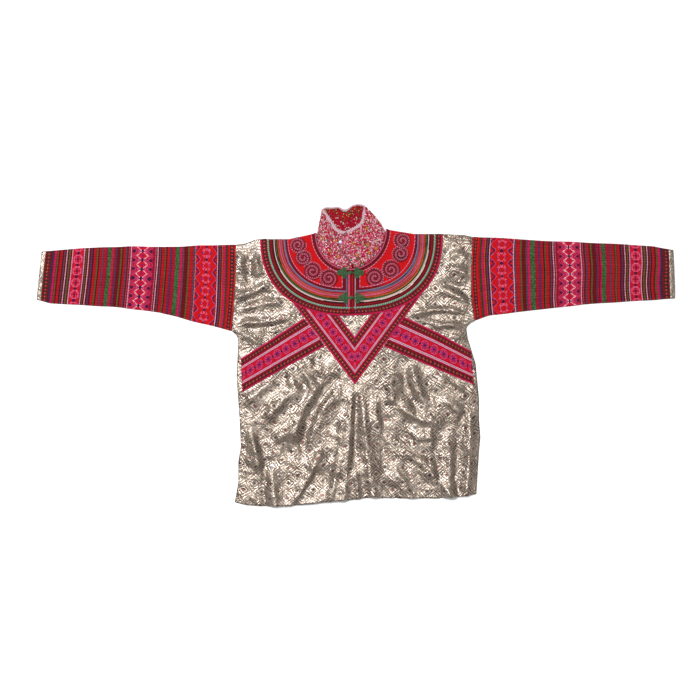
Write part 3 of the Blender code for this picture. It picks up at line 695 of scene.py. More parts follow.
def sleeve_points(side, out, down, layer):
    """A point of the sleeve: out along it in mm, down from its top edge (0) to its bottom edge (1).

    The front layer bows up, with slack ripples; the back layer lies flat. Both turn over on a small round.
    """
    seam_top, seam_bottom, bow, cuff_top, cuff_bottom = SLEEVES[side]
    length = SLEEVE_TOP[side][-1][0]
    top, bottom = on_line(SLEEVE_TOP[side], out), on_line(SLEEVE_BOTTOM[side], out)
    seam = seam_top + (seam_bottom - seam_top) * down + bow * 4 * down * (1 - down)
    cuff = cuff_top + (cuff_bottom - cuff_top) * down
    seed = 11 if side == "left" else 17
    slack = soft_step(out / 30) * soft_step((length - out) / 30)
    drift = 3.2 * slack * ripples(out * 0.35, down * 150, 130, seed) * np.where(layer > 0, 1, 0)
    x = seam + (cuff - seam) * out / length + drift
    y = top + (bottom - top) * down
    sway = 0.9 * slack * ripples(out, 0 * out, 90, seed + 1) * np.where(down < 0.5, 1, -1)
    y = y + sway * np.abs(2 * down - 1)
    to_edge = np.minimum(down, 1 - down) * (top - bottom)
    turned = np.sqrt(np.maximum(1 - (1 - np.clip(to_edge / EDGE_ROUND, 0, 1)) ** 2, 0))
    bowed = 2.4 * np.sin(np.pi * np.clip(down, 0, 1)) + 1.0 * ripples(out, down * 150, 85, seed + 2)
    bowed = bowed + 0.35 * ripples(out, down * 150, 24, seed + 3)
    middle = SLEEVE_LEVEL / 2
    front = middle + (SLEEVE_LEVEL + np.maximum(bowed, -0.4) * soft_step(to_edge / 14) - middle) * turned
    z = np.where(layer > 0, front, middle - (middle - 0.15) * turned)
    return np.stack([x, y, z], -1)


def sleeve_dye(name, pattern, out, low, high, turn):
    """Colours of one strip, from low to high along the sleeve. turn is the distance in mm round the tube."""
    if name.endswith("ribbon"):
        across = np.floor((out - low) / RIBBON_STITCH)
        middle = (high - low) / RIBBON_STITCH // 2
        band = ribbon(across - middle + 3, np.floor(turn / RIBBON_STITCH))
        edge = THREADS["scarlet" if name.startswith("shoulder") else "brown"]
        return np.where((np.abs(across - middle) > 3)[..., None], edge, band)
    if name.endswith("motif"):
        from_middle = np.round((out - (low + high) / 2) / STITCH) * STITCH
        return motif(pattern, from_middle, np.floor(turn / STITCH) * STITCH)
    colours = striped(pattern, (out - low) / (high - low))
    chance = np.random.default_rng(29).uniform(size=out.shape)
    green = np.all(colours == THREADS["green"], axis=-1)
    colours = dyed(((green & (chance < 0.5), "leaf"), (green & (chance > 0.9), "sage")), colours)
    dashed = (np.floor(turn / (2 * STITCH)) % 2 == 0) & (chance < 0.75)
    return colours * np.where(dashed, 0.62, 1.0)[..., None]


fine_brocade = brocade_cloth("silver_binding", 0.45)
for side in SLEEVES:
    length = SLEEVE_TOP[side][-1][0]
    for strip, (start, end, slot_name, pattern) in STRIPS.items():
        low, high = start * length, end * length
        middle = (low + high) / 2
        mean_width = on_line(SLEEVE_TOP[side], middle) - on_line(SLEEVE_BOTTOM[side], middle)
        step = 0.85 if slot_name == "striped_cloth" else STITCH
        outs = np.linspace(low + 0.15, high - 0.15, max(4, int(round((high - low) / (step * 0.9)))))
        down, layer = sleeve_ring(mean_width)
        out, down = np.meshgrid(outs, down, indexing="ij")
        points = sleeve_points(side, out, down, layer)
        if strip == "cuff_binding":
            points[..., 2] += 0.5 * np.sin(np.pi * (out - low) / (high - low)) * np.where(layer > 0, 1, 0)
        turn = np.where(layer > 0, down - 0.5, 1.0 - (down - 0.5)) * mean_width
        if side == "left":
            points, turn, out = points[:, ::-1], turn[:, ::-1], out[:, ::-1]
        turn, out = (np.concatenate([grid, grid[:, :1]], axis=1) for grid in (turn, out))
        if pattern is None:
            looks = {"material": fine_brocade, "cloth": np.stack([out, turn], -1)}
        else:
            dye = sleeve_dye(strip, pattern, face_middle(out), low, high, face_middle(turn))
            looks = {"material": cotton, "dye": loose_colour(dye, 31)}
        piece = cloth_grid(f"{side}_{strip}_cloth", points, TRIM_WALL, closed=True, **looks)
        settle(piece, slot_name, f"{side}_{strip}")

# ------------------------------------------------------------
# Chest bands: the V and the two bands that run from it to the side seams.
# Red cloth with rosettes along the middle, fine light and dark lines, and a flowered ribbon with
# a bright pink fold on each edge. They are sewn flat on the front, so they follow its folds.
# ------------------------------------------------------------
ROSETTE_PITCH = 23.7
ROSETTE_REACH = 9.6
BAND_RISE = 1.5
BAND_LENGTH, BAND_START = 196, 6
BAND_LINES = ((3.0, "hot_pink"), (13.2, "brown"), (15.9, "crimson"), (17.0, "white_pink"), (18.9, "violet"),
              (20.0, "white_pink"), (21.4, "crimson"), (1e3, "band_red"))
RIBBON_FROM, RIBBON_TO = 3.3, 13.0


def band_dye(along, across, seed):
    """Colours over a band: lines by distance from the nearer edge, and rosettes down the middle.

    A rosette is a purple eye, then rings by radius, the outer ones broken into petals by cos(n * angle).
    """
    from_edge = np.minimum(across, BAND_WIDTH - across)
    flowers = ribbon(np.floor((from_edge - RIBBON_FROM) / RIBBON_PITCH), np.floor(along / RIBBON_PITCH))
    in_ribbon = (from_edge > RIBBON_FROM) & (from_edge < RIBBON_TO)
    colours = np.where(in_ribbon[..., None], flowers, banded(from_edge, BAND_LINES))
    step = (along % ROSETTE_PITCH) - ROSETTE_PITCH / 2
    off = across - BAND_WIDTH / 2
    radius, angle = np.hypot(step, off), np.arctan2(off, step)
    petals = np.cos(8 * angle)
    rings = (
        (radius < ROSETTE_REACH, "crimson"),
        ((radius < ROSETTE_REACH) & (radius > 7.2 - 1.6 * petals), "rose"),
        ((radius < 6.4) & (petals > 0.35), "magenta"),
        ((radius < 5.8) & (radius > 4.0) & (petals > 0.7), "pink"),
        (radius < 3.0, "violet"),
        (radius < 1.7, "dark_purple"),
        (ROSETTE_PITCH / 2 - np.abs(step) + np.abs(off) < 2.9, "dark_purple"),
    )
    return loose_colour(dyed([(where & (from_edge > 22), name) for where, name in rings], colours), seed)


def v_points(share, across):
    """Places on the V: share runs from the left end (-1) by the point (0) to the right end (1).

    Lines parallel to the outer edge start at the mitre, straight up from the point, and stop at the yoke.
    """
    point = np.array(V_POINT, float)
    ends = np.where(share[..., None] < 0, V_LEFT_END, V_RIGHT_END)
    arm = ends - point
    arm_length = np.linalg.norm(arm, axis=-1)
    unit = arm / arm_length[..., None]
    inward = np.where(share < 0, 1, -1)[..., None] * np.stack([unit[..., 1], -unit[..., 0]], -1)
    slant = across / np.maximum(inward[..., 1], 1e-6)
    start = point + np.stack([np.zeros_like(slant), slant], -1)
    travel = np.full(share.shape, 40.0)
    for _ in range(12):
        at = start + unit * travel[..., None]
        travel = travel - 0.9 * inside_oval(YOKE, at[..., 0], at[..., 1])
    at = start + unit * (travel + 3.0)[..., None] * np.abs(share)[..., None]
    along = (travel + 3.0) * np.abs(share) + (slant - BAND_WIDTH / 2 / np.abs(inward[..., 1])) * unit[..., 1]
    return at[..., 0], at[..., 1], along


def band_piece(name, x, y, along, across, seed, node):
    """A band on the front, rolled down at its edges. along and across are distances in mm on the band."""
    edge = np.clip(np.minimum(across, BAND_WIDTH - across) / 1.6, 0.04, 1)
    points = on_front(x, y, BAND_RISE * np.sqrt(edge))
    dye = band_dye(face_middle(along), face_middle(across), seed)
    return settle(cloth_grid(name, points, TRIM_WALL, cotton, dye=dye), "stitched_band", node)


across, share = np.meshgrid(np.linspace(0, BAND_WIDTH, 58), np.linspace(-1, 1, 331), indexing="ij")
chevron = band_piece("chest_v", *v_points(share, across), across, 41, "chevron_band")


def between(edges, along, across):
    """Straight-sided band between its top edge and its bottom edge, each given as its points in order."""
    top, bottom = (np.stack([np.interp(along, np.linspace(0, 1, len(edge)), way) for way in zip(*edge)], -1)
                   for edge in edges)
    return top * (1 - across[..., None]) + bottom * across[..., None]


SIDE_BANDS = {
    "left": (((-119, 84), (-190, 38), (-264, -9)), ((-71, 21), (-166, -31), (-261.5, -85))),
    "right": (((112, 87), (188, 51), (265.5, 8)), ((64, 20), (167, -24), (271, -68))),
}
for side, edges in SIDE_BANDS.items():
    across, along = np.meshgrid(np.linspace(0, 1, 54), np.linspace(0, 1, 150), indexing="ij")
    if side == "left":
        along = along[:, ::-1]
    at = between(edges, along, across)
    piece = band_piece(f"{side}_side_band", at[..., 0], at[..., 1], along * BAND_LENGTH + BAND_START,
                       across * BAND_WIDTH, 43, f"side_band_{side}")

# ------------------------------------------------------------
# Yoke: one round of red cloth over the shoulders, slit in front, with rows of tape and cord
# sewn on in rings. From the edge in: a pink fold, a flowered ribbon, a braid of pale green and
# white cord, and then narrow stripes round the red field.
# ------------------------------------------------------------
SLIT_LEFT, SLIT_RIGHT, SLIT_END = -21.0, -0.5, 105.0
YOKE_RISE = 1.5
FIELD_LEFT, FIELD_RIGHT = -31.0, 9.5
FIELD_RING = 63.0
NECK_LINE = -6.5
YOKE_RIBBON = 2.2
YOKE_WALL = 1.2
NECK_ROWS = 42
YOKE_RINGS = (
    (14.2, "brown"), (27.6, "dark_red"), (30.2, "dark"), (32.6, "cream"), (34.2, "dark"), (36.2, "green"),
    (38.6, "dark"), (42, "orange"), (43.1, "dark_red"), (46, "pink"), (47.1, "dark"), (50, "orange"),
    (51, "dark_red"), (53.4, "crimson"), (57.6, "blue_grey"), (59, "dark_purple"), (FIELD_RING, "dark_red"),
    (1e3, "scarlet"))


def yoke_dye(x, y, depth):
    """Ring colours by depth from the edge, with dark red beside the slit and round the neck."""
    beside_slit = (x > FIELD_LEFT) & (x < FIELD_RIGHT)
    border = (beside_slit | (inside_oval(NECK, x, y) > NECK_LINE)) & (depth > 55)
    return loose_colour(dyed([(border, "dark_red")], banded(depth, YOKE_RINGS)), 53)


def yoke_part(name, depths, neck, columns, *nodes, level=None):
    """Cloth between rings of the yoke, and on from the last ring to the neck by equal shares.

    The back lies at a level; the front follows the front panel, and is slit.
    """
    angle = np.linspace(180, 360, columns)
    rings = [np.array(on_oval(YOKE, angle, depth)) for depth in depths]
    last, top = rings[-1], np.array(on_oval(neck, angle))
    rings += [last + (top - last) * share for share in np.linspace(0, 1, NECK_ROWS)[1:]]
    x, y = np.moveaxis(np.array(rings), 1, 0)
    points = on_front(x, y, YOKE_RISE) if level is None else np.stack([x, y, np.full(x.shape, level)], -1)
    middle_x, middle_y = face_middle(x), face_middle(y)
    in_slit = (middle_x > SLIT_LEFT) & (middle_x < SLIT_RIGHT) & (middle_y > SLIT_END + 2)
    dye = yoke_dye(middle_x, middle_y, inside_oval(YOKE, middle_x, middle_y))
    keep = ~in_slit if level is None else None
    piece = cloth_grid(name, points, YOKE_WALL, cotton, dye=dye, keep=keep)
    return settle(piece, "yoke_cloth", *nodes)


yoke_front = yoke_part("yoke_front", np.arange(13.4, 66, 1.05), NECK, 260, "yoke")
yoke_back = yoke_part("yoke_back", np.arange(0, 66, 2.2), BACK_NECK, 90, level=1.3)

depth = np.linspace(YOKE_RIBBON, YOKE_RIBBON + 12, 10)[:, None]
x, y = on_oval(YOKE, np.linspace(180, 360, 430)[None], depth)
along = np.cumsum(np.hypot(np.diff(x[0], prepend=x[0, 0]), np.diff(y[0], prepend=y[0, 0])))
along, across = np.meshgrid(along, np.arange(10))
dye = loose_colour(ribbon(across[1:, 1:] - 2, np.floor(face_middle(along) / RIBBON_PITCH)), 59)
swell = 0.5 * np.sin(np.pi * (depth - YOKE_RIBBON) / 12)
yoke_ribbon = cloth_grid("yoke_ribbon", on_front(x, y, YOKE_RISE + swell + 0.1), 0.7, cotton, dye=dye)
settle(yoke_ribbon, "woven_ribbon")


def smooth_line(points, count):
    """A smooth line through points (Catmull-Rom): each stretch is a cubic with its neighbours' slopes."""
    points = np.asarray(points, float)
    padded = np.concatenate([2 * points[:1] - points[1:2], points, 2 * points[-1:] - points[-2:-1]])
    place = np.linspace(0, len(points) - 1, count)
    at = np.minimum(place.astype(int), len(points) - 2)
    t = (place - at)[:, None]
    a, b, c, d = (padded[at + step] for step in range(4))
    return 0.5 * (2 * b + (c - a) * t + (2 * a - 5 * b + 4 * c - d) * t**2 + (3 * b - a - 3 * c + d) * t**3)


def tube(points, wide, tall, colours, sides=6, up=(0, 0, 1), closed=False):
    """Points, faces and colours of a cord: an oval ring of this many sides carried along the points.

    Each ring stands across the line: sideways is tangent x up, and its own up is sideways x tangent.
    colours holds thread names, taken in turn as the strands wind round. closed joins the cord's ends.
    """
    points = np.asarray(points, float)
    if closed:
        tangent = np.roll(points, -1, axis=0) - np.roll(points, 1, axis=0)
    else:
        tangent = np.gradient(points, axis=0)
    tangent /= np.maximum(np.linalg.norm(tangent, axis=1), 1e-9)[:, None]
    sideways = np.cross(tangent, np.broadcast_to(up, points.shape))
    sideways /= np.maximum(np.linalg.norm(sideways, axis=1), 1e-9)[:, None]
    upward = np.cross(sideways, tangent)
    turn = 2 * np.pi * np.arange(sides) / sides
    wide, tall = (np.broadcast_to(size, len(points))[:, None, None] for size in (wide, tall))
    rings = (points[:, None] + sideways[:, None] * np.cos(turn)[None, :, None] * wide
             + upward[:, None] * np.sin(turn)[None, :, None] * tall)
    index = numbered(len(points), sides)
    ends = [index[0][::-1].tolist(), index[-1].tolist()]
    if closed:
        index, ends = np.concatenate([index, index[:1]]), []
    steps = np.add.outer(np.arange(len(index) - 1), np.arange(sides))
    dye = np.array([THREADS[name] for name in colours])[steps % len(colours)].reshape(-1, 3)
    if ends:
        dye = np.concatenate([dye, dye[:1], dye[-1:]])
    return rings.reshape(-1, 3), quads(index, closed=True).tolist() + ends, dye


def made_of(name, parts, material):
    """One piece from several parts, each its points in mm, its faces and a colour for each face."""
    points, faces, dyes = zip(*parts)
    starts = np.cumsum([0] + [len(own) for own in points]).tolist()
    joined = [[start + corner for corner in face] for start, own in zip(starts, faces) for face in own]
    return new_piece(name, np.concatenate(points), joined, material, np.concatenate(dyes))


def cords_of(name, parts, slot_name, *nodes):
    """One piece made of cotton cords, with the CAD nodes it stands for."""
    return settle(made_of(name, parts, cotton), slot_name, *nodes)


def sewn_line(places, rise):
    """Points of a cord sewn on the yoke along x, y places, with its middle this much above the cloth."""
    x, y = np.asarray(places, float).T
    return on_front(x, y, YOKE_RISE + rise)


def ring_places(depth):
    """Places on the ring of the yoke at this depth from its edge, from the left to the right."""
    return np.stack(on_oval(YOKE, np.linspace(180, 360, 330), depth), -1)


def angle_on(oval, x, inward):
    """The angle at which the lower half of an oval passes this x."""
    centre_x, _, half_width, _, _, left, right = oval
    across = (x - centre_x) / (half_width - inward)
    full = left if across < 0 else right
    return 360 - np.degrees(np.arccos(np.sign(across) * np.abs(across) ** (full / 2)))


pink_fold = tube(sewn_line(ring_places(1.3), -0.2), 2.1, 1.5, ("hot_pink", "hot_pink", "crimson"))
cords_of("yoke_edging", [pink_fold], "edge_binding")
BRAID_DEPTH, BRAID_REACH, BRAID_TWISTS, BRAID_STEPS = 17.4, 1.35, 118, 1100
strands = []
for start, shades in ((0, ("teal", "teal", "green")), (np.pi, ("mint", "cream", "teal"))):
    phase = np.linspace(0, 2 * np.pi * BRAID_TWISTS, BRAID_STEPS) + start
    depth = BRAID_DEPTH + BRAID_REACH * np.sin(phase)
    points = sewn_line(np.stack(on_oval(YOKE, np.linspace(180, 360, BRAID_STEPS), depth), -1), 1.1)
    points[:, 2] += 0.75 * np.cos(phase)
    strands.append(tube(points, 1.05, 1.0, shades, sides=5))
cords_of("yoke_braid", strands, "yoke_cloth")

RING_CORDS = (
    # depth from the yoke's edge, half width, strands
    (31.4, 1.1, ("cream", "white_pink", "cream")), (24.0, 1.0, ("red", "dark_red")),
    (40.4, 1.0, ("orange", "red")), (44.6, 1.1, ("pink", "rose", "pink")), (48.6, 1.0, ("orange", "pink")),
    (55.4, 1.3, ("blue_grey", "lilac")), (35.2, 0.8, ("green", "leaf")))
cords = [tube(sewn_line(ring_places(depth), 0.25), wide, 0.8, shades, sides=5)
         for depth, wide, shades in RING_CORDS]
for slit_x, shoulder in ((FIELD_LEFT, 180), (FIELD_RIGHT, 360)):
    by_neck = np.linspace(shoulder, angle_on(NECK, slit_x, NECK_LINE), 70)
    by_ring = np.linspace(angle_on(YOKE, slit_x, FIELD_RING), shoulder, 110)
    neck_part = np.stack(on_oval(NECK, by_neck, NECK_LINE), -1)
    ring_part = np.stack(on_oval(YOKE, by_ring, FIELD_RING), -1)
    down = np.linspace(0, 1, 14)[1:-1, None] * (ring_part[0] - neck_part[-1]) + neck_part[-1]
    cords.append(tube(sewn_line(np.concatenate([neck_part, down, ring_part]), 1.0), 1.0, 0.75,
                      ("pink", "white_pink", "pink", "rose"), sides=5))
cords_of("yoke_cords", cords, "yoke_cloth")

# ------------------------------------------------------------
# Scrolls: on each side of the yoke four rounds of crimson cloth, each with a chain of pink cord
# coiled on it and a thin dark green cord coiled between its turns.
# ------------------------------------------------------------
SCROLLS = {
    # x, y, reach, start of the coil in degrees, way it winds
    "left": ((-133, 252.5, 19, 250, 1), (-121, 223, 19, 60, -1), (-99, 192, 21.5, 30, 1),
             (-62, 175.5, 22, 150, -1)),
    "right": ((107, 262.5, 20, 250, -1), (103, 232, 20, 130, 1), (81, 195.5, 22, 200, -1),
              (44, 177.5, 22, 30, 1)),
}
COIL_TURNS = 2.35
LOOP_PITCH = 4.4


def coil(x, y, reach, start, winding, lag, loop):
    """A coil r = 2.5 + (reach - 2.2) * share - lag; with a loop, each step also goes round its own circle."""
    share = np.linspace(0, 1, 620 if loop else 150)
    radius = 2.5 + (reach - 2.2) * share - lag
    angle = np.radians(start) + winding * 2 * np.pi * COIL_TURNS * share
    length = 2 * np.pi * COIL_TURNS * (reach / 2)
    spin = 2 * np.pi * length / LOOP_PITCH * share**1.5
    radius = np.maximum(radius + loop * np.cos(spin), 0.4)
    angle = angle + winding * loop * np.sin(spin) / np.maximum(radius, 3)
    return np.stack([x + radius * np.cos(angle), y + radius * np.sin(angle)], -1)


for side, rows in SCROLLS.items():
    for number, (x0, y0, reach, start, winding) in enumerate(rows, 1):
        ring, turn = np.meshgrid(np.linspace(0, 1, 9), np.linspace(0, 2 * np.pi, 49)[:-1], indexing="ij")
        radius = np.maximum(ring * (reach - 1), 0.05)
        x, y = x0 + radius * np.cos(turn), y0 + radius * np.sin(turn)
        points = on_front(x, y, YOKE_RISE + 0.15 + 0.55 * (1 - ring**6))
        index = numbered(*ring.shape)
        faces = quads(index, closed=True)[:, [0, 3, 2, 1]].tolist() + [index[-1][::-1].tolist()]
        dye = loose_colour(np.tile(THREADS["crimson"] * 0.7, (len(faces), 1)), 61)
        disc = (points.reshape(-1, 3), faces, dye)
        chain = tube(sewn_line(coil(x0, y0, reach, start, winding, 0, 1.55), 1.2), 0.5, 0.45,
                     ("white_pink", "pink", "pink", "rose"), sides=4)
        dark = tube(sewn_line(coil(x0, y0, reach, start, winding, 4.0, 0), 0.9), 0.7, 0.5,
                    ("dark", "moss", "dark"), sides=5)
        cords_of(f"scroll_cords_{side}_{number}", [disc, chain, dark], "scroll_cord",
                 f"scroll_{side}_{number}")

# ------------------------------------------------------------
# Slit: a striped strip behind the chest slit, and a small red tab over its lower end.
# The strip's stripes run up it, from blue grey at the left to lilac at the right.
# ------------------------------------------------------------
PLACKET_STRIPES = ("blue_grey 3.6, dark_red 1.6, pink 2.2, red 2.2, pink 1.4, dark_red 1, red 2.6, pink 1.6, "
                   "dark_red 1.2, lilac 3.4")


def strip_grid(name, left, right, bottom, top, rise, colours, slot_name, node):
    """A straight strip on the yoke, with its stripes running up it."""
    u, v = np.meshgrid(np.linspace(0, 1, 22), np.linspace(0, 1, max(8, int((top - bottom) / 1.6))))
    x, y = left + (right - left) * u, bottom + (top - bottom) * v
    dye = loose_colour(striped(colours, face_middle(u)), 67)
    return settle(cloth_grid(name, on_front(x, y, YOKE_RISE + rise), 0.8, cotton, dye=dye), slot_name, node)


placket = strip_grid("placket_cloth", -22.5, 1.0, 104, 191, 1.5, PLACKET_STRIPES, "stitched_band",
                     "slit_placket")
tab = strip_grid("tab_cloth", -15, -4.5, 97.5, 126, 2.4, "red 2, crimson 1, pink 1, crimson 1, red 2",
                 "woven_ribbon", "slit_tab")

# ------------------------------------------------------------
# Collar: a standing band, fallen flat with its right end lapped over the left. Its outside is
# covered with small pink sequins and a few yellow flowers; the inside shows in the opening, red
# with glass beads. A pale pink binding edges it, and pink piping runs round the neck seam.
# Dark strands on the lapped edge and a dark red cord just outside the piping are painted shadow.
# ------------------------------------------------------------
LEFT_BASE, RIGHT_BASE = 5.9, 7.7
TOP_EDGE = ((-77.5, 334), (-66, 337.5), (-52, 337), (-40, 338.5), (-27, 331.5), (-18, 334), (-8, 341.5),
            (4, 344.5), (15.5, 345))
LEFT_V = ((-21, 279.5), (-34, 282), (-46, 289), (-58, 306), (-69, 322), (-77.5, 335))
RIGHT_V = ((18.5, 343.5), (19.5, 325), (14.5, 304), (3.5, 293.5), (-10, 286), (-22, 280.5))
LAP_FEET, LAP_TOPS = ((-13, 213), (-24, 228), (-33, 238)), ((-31, 274), (-37.5, 264), (-38.5, 256))
SEQUIN_THREADS = ("red", "scarlet", "white_pink", "cream", "hot_pink", "pink", "white_pink", "green",
                  "crimson", "red", "rose", "pink")
SEQUIN_SHADES = np.array([THREADS[name] for name in SEQUIN_THREADS])
COLLAR_WALL = 1.2


def lobe_points(feet, tops, columns, rows, base, crown, bulge):
    """Surface between a line of feet and a line of tops, with soft dents.

    Its height is base + 1.5 * up + crown * sin(pi * up)^0.7, and bulge moves its first columns out.
    """
    foot, top = smooth_line(feet, columns), smooth_line(tops, columns)
    up = np.linspace(0, 1, rows)[:, None]
    flat = foot[None] * (1 - up[..., None]) + top[None] * up[..., None]
    flat[..., 0] += bulge * np.sin(np.pi * up) * np.linspace(1, 0, columns)[None] ** 3
    x, y = flat[..., 0], flat[..., 1]
    height = base + 1.5 * up + crown[None] * np.sin(np.pi * up) ** 0.7 + 0.35 * ripples(x, y, 26, 71)
    return np.stack([x, y, height], -1)


def sequin_dye(surface, seed):
    """Colours of a sequined surface: one thread, drawn at random, for each square of two by two faces."""
    rows, columns = surface.shape[0] - 1, surface.shape[1] - 1
    draw = np.random.default_rng(seed)
    coarse = SEQUIN_SHADES[draw.integers(0, len(SEQUIN_SHADES), (rows // 2 + 1, columns // 2 + 1))]
    return coarse.repeat(2, axis=0).repeat(2, axis=1)[:rows, :columns]


def sequined(name, surface, seed):
    """A sequined part of the collar."""
    piece = cloth_grid(name, surface, COLLAR_WALL, cotton, dye=sequin_dye(surface, seed))
    return settle(piece, "sequin_cloth", "collar")


def raised(foot, top):
    """Places between a foot line and a top line, and how far up each row is."""
    up = np.linspace(0, 1, 40)[:, None]
    return foot[None] * (1 - up[..., None]) + top[None] * up[..., None], up


stations = np.linspace(0, 1, 9)
left_feet = np.stack(on_oval(COLLAR_SEAM, 272 + (184 - 272) * stations), -1)
right_feet = np.stack(on_oval(COLLAR_SEAM, 356 + (278 - 356) * stations), -1)
right_feet = np.concatenate([right_feet, LAP_FEET])
right_tops = np.concatenate([smooth_line(RIGHT_V, 9), LAP_TOPS])
left_crown = 3.6 * soft_step((np.linspace(0, 1, 80) - 0.3) / 0.4) + 0.3
right_crown = 4.6 - 2.6 * soft_step((np.linspace(0, 1, 110) - 0.75) / 0.25)
left_points = lobe_points(left_feet, smooth_line(LEFT_V, 9), 80, 44, LEFT_BASE, left_crown, 0)
right_points = lobe_points(right_feet, right_tops, 110, 44, RIGHT_BASE, right_crown, 5.5)
left_lobe = sequined("collar_left_lobe", left_points[:, ::-1], 73)
right_lobe = sequined("collar_right_lobe", right_points[:, ::-1], 79)

top_line = smooth_line(TOP_EDGE, 60)
share = np.linspace(0, 1, 60)
foot_line = np.stack([-89 + 155 * share, 277 - 14 * np.sin(np.pi * share) + 8 * share], -1)
flat, _ = raised(foot_line, top_line)
back_points = np.concatenate([flat, np.full(flat.shape[:2] + (1,), 1.5)], -1)
collar_back = sequined("collar_back", back_points, 83)
foot_line = np.stack([-80 + 102 * share, 268 + 22 * np.abs(-1 + 2.1 * share) ** 1.5], -1)
flat, up = raised(foot_line, top_line - (0, 1.5))
puckers = 0.9 * ripples(flat[..., 0], flat[..., 1], 19, 89)
lining_points = np.concatenate([flat, (3.4 + 1.6 * up + puckers * np.sin(np.pi * up))[..., None]], -1)
reds = np.array([THREADS[name] for name in ("red", "crimson", "dark_red")])
lining_dye = reds[np.random.default_rng(97).integers(0, 3, (39, 59))]
lining = cloth_grid("collar_lining_cloth", lining_points, 0.9, cotton, dye=lining_dye)
settle(lining, "beaded_cloth", "collar_lining")


def beads(name, centres, radius, height, shades, slot_name, tilt=0.0, sides=6):
    """Many small flat beads: each a ring of points between two poles, tilted a little its own way."""
    turn = 2 * np.pi * np.arange(sides) / sides
    ring = np.stack([np.cos(turn), np.sin(turn), np.zeros(sides)], -1)
    shape = np.concatenate([ring, [(0, 0, 1), (0, 0, -1)]])
    upper = [(i, (i + 1) % sides, sides) for i in range(sides)]
    lower = [((i + 1) % sides, i, sides + 1) for i in range(sides)]
    centres = np.asarray(centres, float)
    count = len(centres)
    radius, height = np.broadcast_to(radius, count), np.broadcast_to(height, count)
    tilt = np.broadcast_to(tilt, (count, 2))
    scaled = shape[None] * np.stack([radius, radius, height], -1)[:, None]
    scaled[..., 2] += scaled[..., 0] * tilt[:, None, 0] + scaled[..., 1] * tilt[:, None, 1]
    faces = (np.array(upper + lower)[None] + (np.arange(count) * len(shape))[:, None, None]).reshape(-1, 3)
    piece = new_piece(name, (centres[:, None] + scaled).reshape(-1, 3), faces.tolist(), sequin,
                      np.repeat(shades, 2 * sides, axis=0))
    return settle(piece, slot_name)


def bead_finish(name, roughness, metallic):
    """Glossy beads and sequins in their own colours, with a clear coat."""
    shader = Shader(name, {"Roughness": roughness, "Metallic": metallic, "Coat Weight": 0.5,
                           "Coat Roughness": 0.12})
    dye = shader.node("ShaderNodeAttribute", attribute_name="dye")
    place = shader.node("ShaderNodeTexCoord").outputs["Object"]
    shader.join(dye.outputs["Color"], shader.surface.inputs["Base Color"])
    shader.bump(shader.noise(place, 900.0), 0.2, 0.0003)
    return shader.material


sequin = bead_finish("sequins", 0.28, 0.25)


def strewn(surface, share, seed):
    """Places picked over a grid of points: a share of its cells, each moved off its middle; and the draw."""
    draw = np.random.default_rng(seed)
    rows, columns = surface.shape[0] - 1, surface.shape[1] - 1
    picked = np.argwhere(draw.uniform(size=(rows, columns)) < share)
    off = draw.uniform(0.1, 0.9, (len(picked), 2, 1))
    r, c = picked.T
    a, b, d, e = surface[r, c], surface[r, c + 1], surface[r + 1, c], surface[r + 1, c + 1]
    low, high = a + (b - a) * off[:, 1], d + (e - d) * off[:, 1]
    return low + (high - low) * off[:, 0], draw


groups = []
for surface, share, seed in ((left_points, 0.24, 101), (right_points, 0.26, 103)):
    centres, draw = strewn(surface, share, seed)
    count = len(centres)
    tilt, radius = draw.uniform(-0.35, 0.35, (count, 2)), draw.uniform(1.2, 2.0, count)
    shades = SEQUIN_SHADES[draw.integers(0, len(SEQUIN_SHADES), count)]
    groups.append((centres + (0, 0, 0.55), radius, shades, tilt))
centres, radius, shades, tilt = (np.concatenate(column) for column in zip(*groups))
beads("collar_sequins", centres, radius, 0.4, shades, "sequin_cloth", tilt)

FLOWERS = ((-75.5, 267.8), (-60.3, 238.5), (-46, 262), (-7.5, 256), (27.7, 252.5), (46.5, 244.3), (30, 235),
           (25.4, 290), (3.1, 229), (-40, 226))
PETALS, PETAL_REACH = 6, 2.3
surfaces = np.concatenate([left_points.reshape(-1, 3), right_points.reshape(-1, 3)])
petals, shades = [], []
for x0, y0 in FLOWERS:
    near = surfaces[np.hypot(surfaces[:, 0] - x0, surfaces[:, 1] - y0) < 3]
    level = near[:, 2].max() + 1.0
    for step in range(PETALS):
        turn = 2 * np.pi * step / PETALS
        petals.append((x0 + PETAL_REACH * np.cos(turn), y0 + PETAL_REACH * np.sin(turn), level))
        shades.append(thread(232, 190, 62) if step % 2 else thread(226, 150, 44))
    petals.append((x0, y0, level + 0.5))
    shades.append(thread(190, 60, 40))
beads("collar_flowers", petals, 1.3, 0.8, shades, "sequin_cloth", sides=8)

centres, draw = strewn(lining_points[::3, ::3], 0.75, 107)
upper = centres[:, 1] > 318 - 12 * np.abs(np.sin(centres[:, 0] * 0.07))
golds, pinks = (np.array([THREADS[name] for name in names]) for names in (
    ("orange", "gold", "leaf", "green", "crimson"), ("white_pink", "pink", "hot_pink", "cream", "red")))
pick = draw.integers(0, 5, len(centres))
beads("lining_beads", centres + (0, 0, 1.4), 1.85, 1.5, np.where(upper[:, None], golds[pick], pinks[pick]),
      "beaded_cloth")


def at_level(places, level):
    """Points at these x, y places, all at one height."""
    return np.concatenate([places, np.full((len(places), 1), level)], 1)


